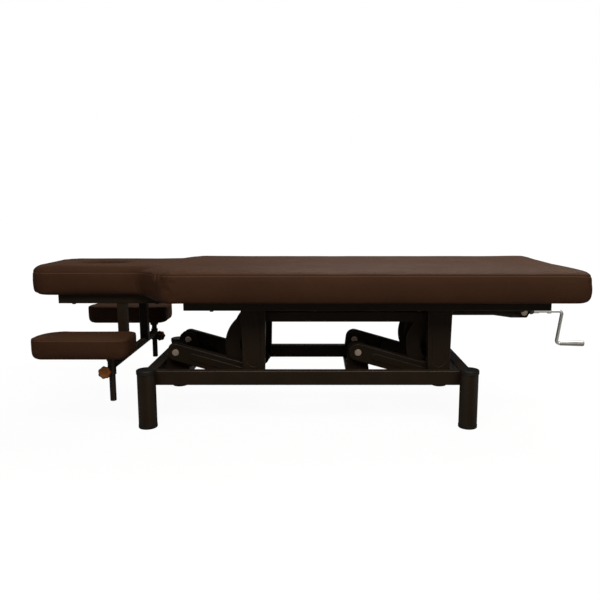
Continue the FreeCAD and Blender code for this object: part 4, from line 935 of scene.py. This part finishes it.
class TABLE_OT_armrests(bpy.types.Operator):
    """Makes the two armrest cushions"""
    bl_idname = "table.armrests"
    bl_label = "Armrest cushions"

    def cover(self, rest, side, rod_end):
        low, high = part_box("armrest_cushion_" + side)
        low += Vector((rest.inset - rest.free_reach, rest.inset, -rest.hang))
        high -= Vector((rod_end, rest.inset, -rest.top_rise))
        bm = bmesh.new()
        belt = low + Vector((0, 0, REST_STEPPED))
        swept_block(bm, belt, high, rest.corner, rest.free_corner)
        carry_on(bm, -1, REST_DOWN)
        soften(bm, at_level(bm, high.z), rest.edge, EDGE_STEPS)
        soften(bm, at_level(bm, low.z), rest.low_edge, EDGE_STEPS)
        name, body = "armrest_cover_" + side, "armrest_" + side
        piece = new_piece(name, bm, "brown vinyl", body)
        remesh(piece, rest.voxel)
        seam = high.z - rest.seam_drop
        swell(piece, sewn_points(piece, low.z, seam, rest.voxel), rest.crown)
        sew(piece, seam, rest)
        for vert in piece.data.vertices:
            tuck = undercut(vert.co.z - low.z, rest.end_round)
            ends = ease(vert.co.x, high.x - ROD_END[0], high.x - ROD_END[1]) - 1
            ends += ease(vert.co.x, low.x + FREE_END[0], low.x + FREE_END[1])
            vert.co.x -= ends * tuck
        refine(piece)
        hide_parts("armrest_cushion_" + side)

    def board(self, rest, side, rod_end):
        low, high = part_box("armrest_board_" + side)
        bm = bmesh.new()
        end = high - Vector((rod_end, 0, 0))
        swept_block(bm, low, end, rest.corner, rest.free_corner)
        soften(bm, at_level(bm, low.z), rest.board_edge, EDGE_STEPS)
        name, body = "armrest_panel_" + side, "armrest_" + side
        board = new_piece(name, bm, "stained plywood", body)
        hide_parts("armrest_board_" + side)

    def execute(self, context):
        rest = context.scene.table_armrest
        for side in NEAR_FAR:
            rod_end = rest.rod_end if side == "near" else 0.0
            self.cover(rest, side, rod_end)
            self.board(rest, side, rod_end)
        return {"FINISHED"}


class TABLE_OT_knobs(bpy.types.Operator):
    """Makes the two clamp knobs with their softly lobed rims"""
    bl_idname = "table.knobs"
    bl_label = "Clamp knobs"

    def execute(self, context):
        knob = context.scene.table_knob
        for side in NEAR_FAR:
            low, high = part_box("knob_" + side)
            near = side == "near"
            bm = bmesh.new()
            bmesh.ops.create_circle(bm, segments=KNOB_FACETS * knob.lobes, radius=knob.reach)
            for vert in bm.verts:
                swing = 0.5 - 0.5 * math.cos(knob.lobes * math.atan2(vert.co.y, vert.co.x))
                vert.co *= 1 - swing * knob.lobe / knob.reach
            raise_plan(bm, knob.rim)
            turn_on(bm, 1, KNOB_FRONT)
            turn_on(bm, -1, KNOB_BACK)
            top = max(v.co.z for v in bm.verts)
            bmesh.ops.translate(bm, verts=bm.verts[:], vec=(0, 0, -top))
            outward = Matrix.Rotation(math.pi / (2 if near else -2), 3, "X")
            bmesh.ops.rotate(bm, verts=bm.verts[:], matrix=outward)
            at = (high.x - knob.reach, low.y) if near else (low.x + knob.reach, high.y)
            bmesh.ops.translate(bm, verts=bm.verts[:], vec=(*at, (low.z + high.z) / 2))
            name, body = "knob_cap_" + side, "knob_" + side
            piece = new_piece(name, bm, "knob plastic", body)
            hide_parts("knob_" + side)
        return {"FINISHED"}


class TABLE_OT_stage(bpy.types.Operator):
    """Sets the floor, the lights and the camera"""
    bl_idname = "table.stage"
    bl_label = "Stage"

    def floor(self):
        """A pale floor that the camera sees nearly white, whitest far away."""
        bm = bmesh.new()
        bmesh.ops.create_grid(bm, x_segments=1, y_segments=1, size=FLOOR_SIZE)
        mesh = mesh_of("studio floor", bm)
        material = bpy.data.materials.new("pale floor")
        material.use_nodes = True
        tree = material.node_tree
        tree.nodes.remove(tree.nodes["Principled BSDF"])
        matt = add(tree, "ShaderNodeBsdfDiffuse", {"Color": FLOOR_GREY})
        away = add(tree, "ShaderNodeVectorMath", {0: place(tree)}, operation="LENGTH")
        strength = spread(tree, away.outputs["Value"], GLOW_NEAR[0], GLOW_FAR[0],
                          GLOW_NEAR[1], GLOW_FAR[1])
        glow = add(tree, "ShaderNodeEmission", {"Color": WHITE, "Strength": strength})
        path = tree.nodes.new("ShaderNodeLightPath").outputs
        seen = maths(tree, "MAXIMUM", path["Is Camera Ray"], path["Is Transmission Ray"])
        share = maths(tree, "MULTIPLY", seen, FLOOR_GLOW_SHARE)
        pale = add(tree, "ShaderNodeMixShader",
                   {0: share, 1: matt.outputs[0], 2: glow.outputs[0]})
        tree.links.new(pale.outputs[0], tree.nodes["Material Output"].inputs["Surface"])
        mesh.materials.append(material)
        floor = placed("studio_floor", mesh)

    def surround(self, strength):
        """White behind the table, a bright ceiling and front in reflections, even light else."""
        world = bpy.data.worlds.new("studio")
        bpy.context.scene.world = world
        world.use_nodes = True
        tree = world.node_tree
        sky = tree.nodes["Background"].inputs
        path = tree.nodes.new("ShaderNodeLightPath").outputs
        looking = tree.nodes.new("ShaderNodeTexCoord").outputs["Generated"]
        way = add(tree, "ShaderNodeSeparateXYZ", {0: looking}).outputs
        ceiling = spread(tree, way["Z"], 0.30, 0.95, DIM, 1.0)
        front = spread(tree, way["Y"], -0.9, 0.1, 0.80, DIM)
        level = maths(tree, "MULTIPLY", path["Is Glossy Ray"],
                      maths(tree, "MAXIMUM", ceiling, front))
        level = maths(tree, "MAXIMUM", level, strength)
        shown = maths(tree, "MAXIMUM", path["Is Camera Ray"], path["Is Transmission Ray"])
        tree.links.new(maths(tree, "MAXIMUM", level, shown), sky["Strength"])
        sky["Color"].default_value = WHITE

    def soft_box(self, name, at, aim, power, tone):
        light = bpy.data.lights.new(name, "AREA")
        light.color = tone
        light.shape = "RECTANGLE"
        light.size = BOX_WIDE
        light.size_y = BOX_DEEP
        light.energy = power
        lamp = placed(name, light)
        lamp.location = at
        lamp.rotation_euler = (Vector(aim) - Vector(at)).to_track_quat("-Z", "Y").to_euler()

    def execute(self, context):
        stage = context.scene.table_stage
        self.floor()
        self.surround(stage.surround)
        self.soft_box("overhead", OVERHEAD_AT, OVERHEAD_AIM, stage.overhead, stage.warmth)
        self.soft_box("front", FRONT_AT, FRONT_AIM, stage.fill, stage.warmth)
        camera = bpy.data.cameras.new("camera")
        camera.lens = stage.lens
        camera.sensor_width = SENSOR
        camera.shift_x = stage.shift
        eye = placed("camera", camera)
        eye.location = stage.place
        eye.rotation_euler = (math.pi / 2 - stage.pitch, 0, 0)
        context.scene.camera = eye
        context.scene.view_settings.view_transform = "Standard"
        return {"FINISHED"}


class TABLE_PT_sidebar(bpy.types.Panel):
    """Lists the table's pieces"""
    bl_idname = "TABLE_PT_sidebar"
    bl_label = "Massage table"
    bl_space_type = "VIEW_3D"
    bl_region_type = "UI"
    bl_category = "Table"

    def draw(self, context):
        for name in STEPS:
            self.layout.operator("table." + name)


STEPS = ("finishes", "cushion", "armrests", "knobs", "stage")
SETTINGS = {"table_pad": PadSettings, "table_armrest": ArmrestSettings, "table_knob": KnobSettings,
            "table_finish": FinishSettings, "table_stage": StageSettings}
CLASSES = (*SETTINGS.values(), TABLE_OT_finishes, TABLE_OT_cushion, TABLE_OT_armrests,
           TABLE_OT_knobs, TABLE_OT_stage, TABLE_PT_sidebar)


def register():
    for cls in CLASSES:
        bpy.utils.register_class(cls)
    for name, group in SETTINGS.items():
        setattr(bpy.types.Scene, name, PointerProperty(type=group))


def unregister():
    for name in SETTINGS:
        delattr(bpy.types.Scene, name)
    for cls in reversed(CLASSES):
        bpy.utils.unregister_class(cls)


def main():
    register()
    for name in STEPS:
        getattr(bpy.ops.table, name)()


if __name__ == "__main__":
    main()
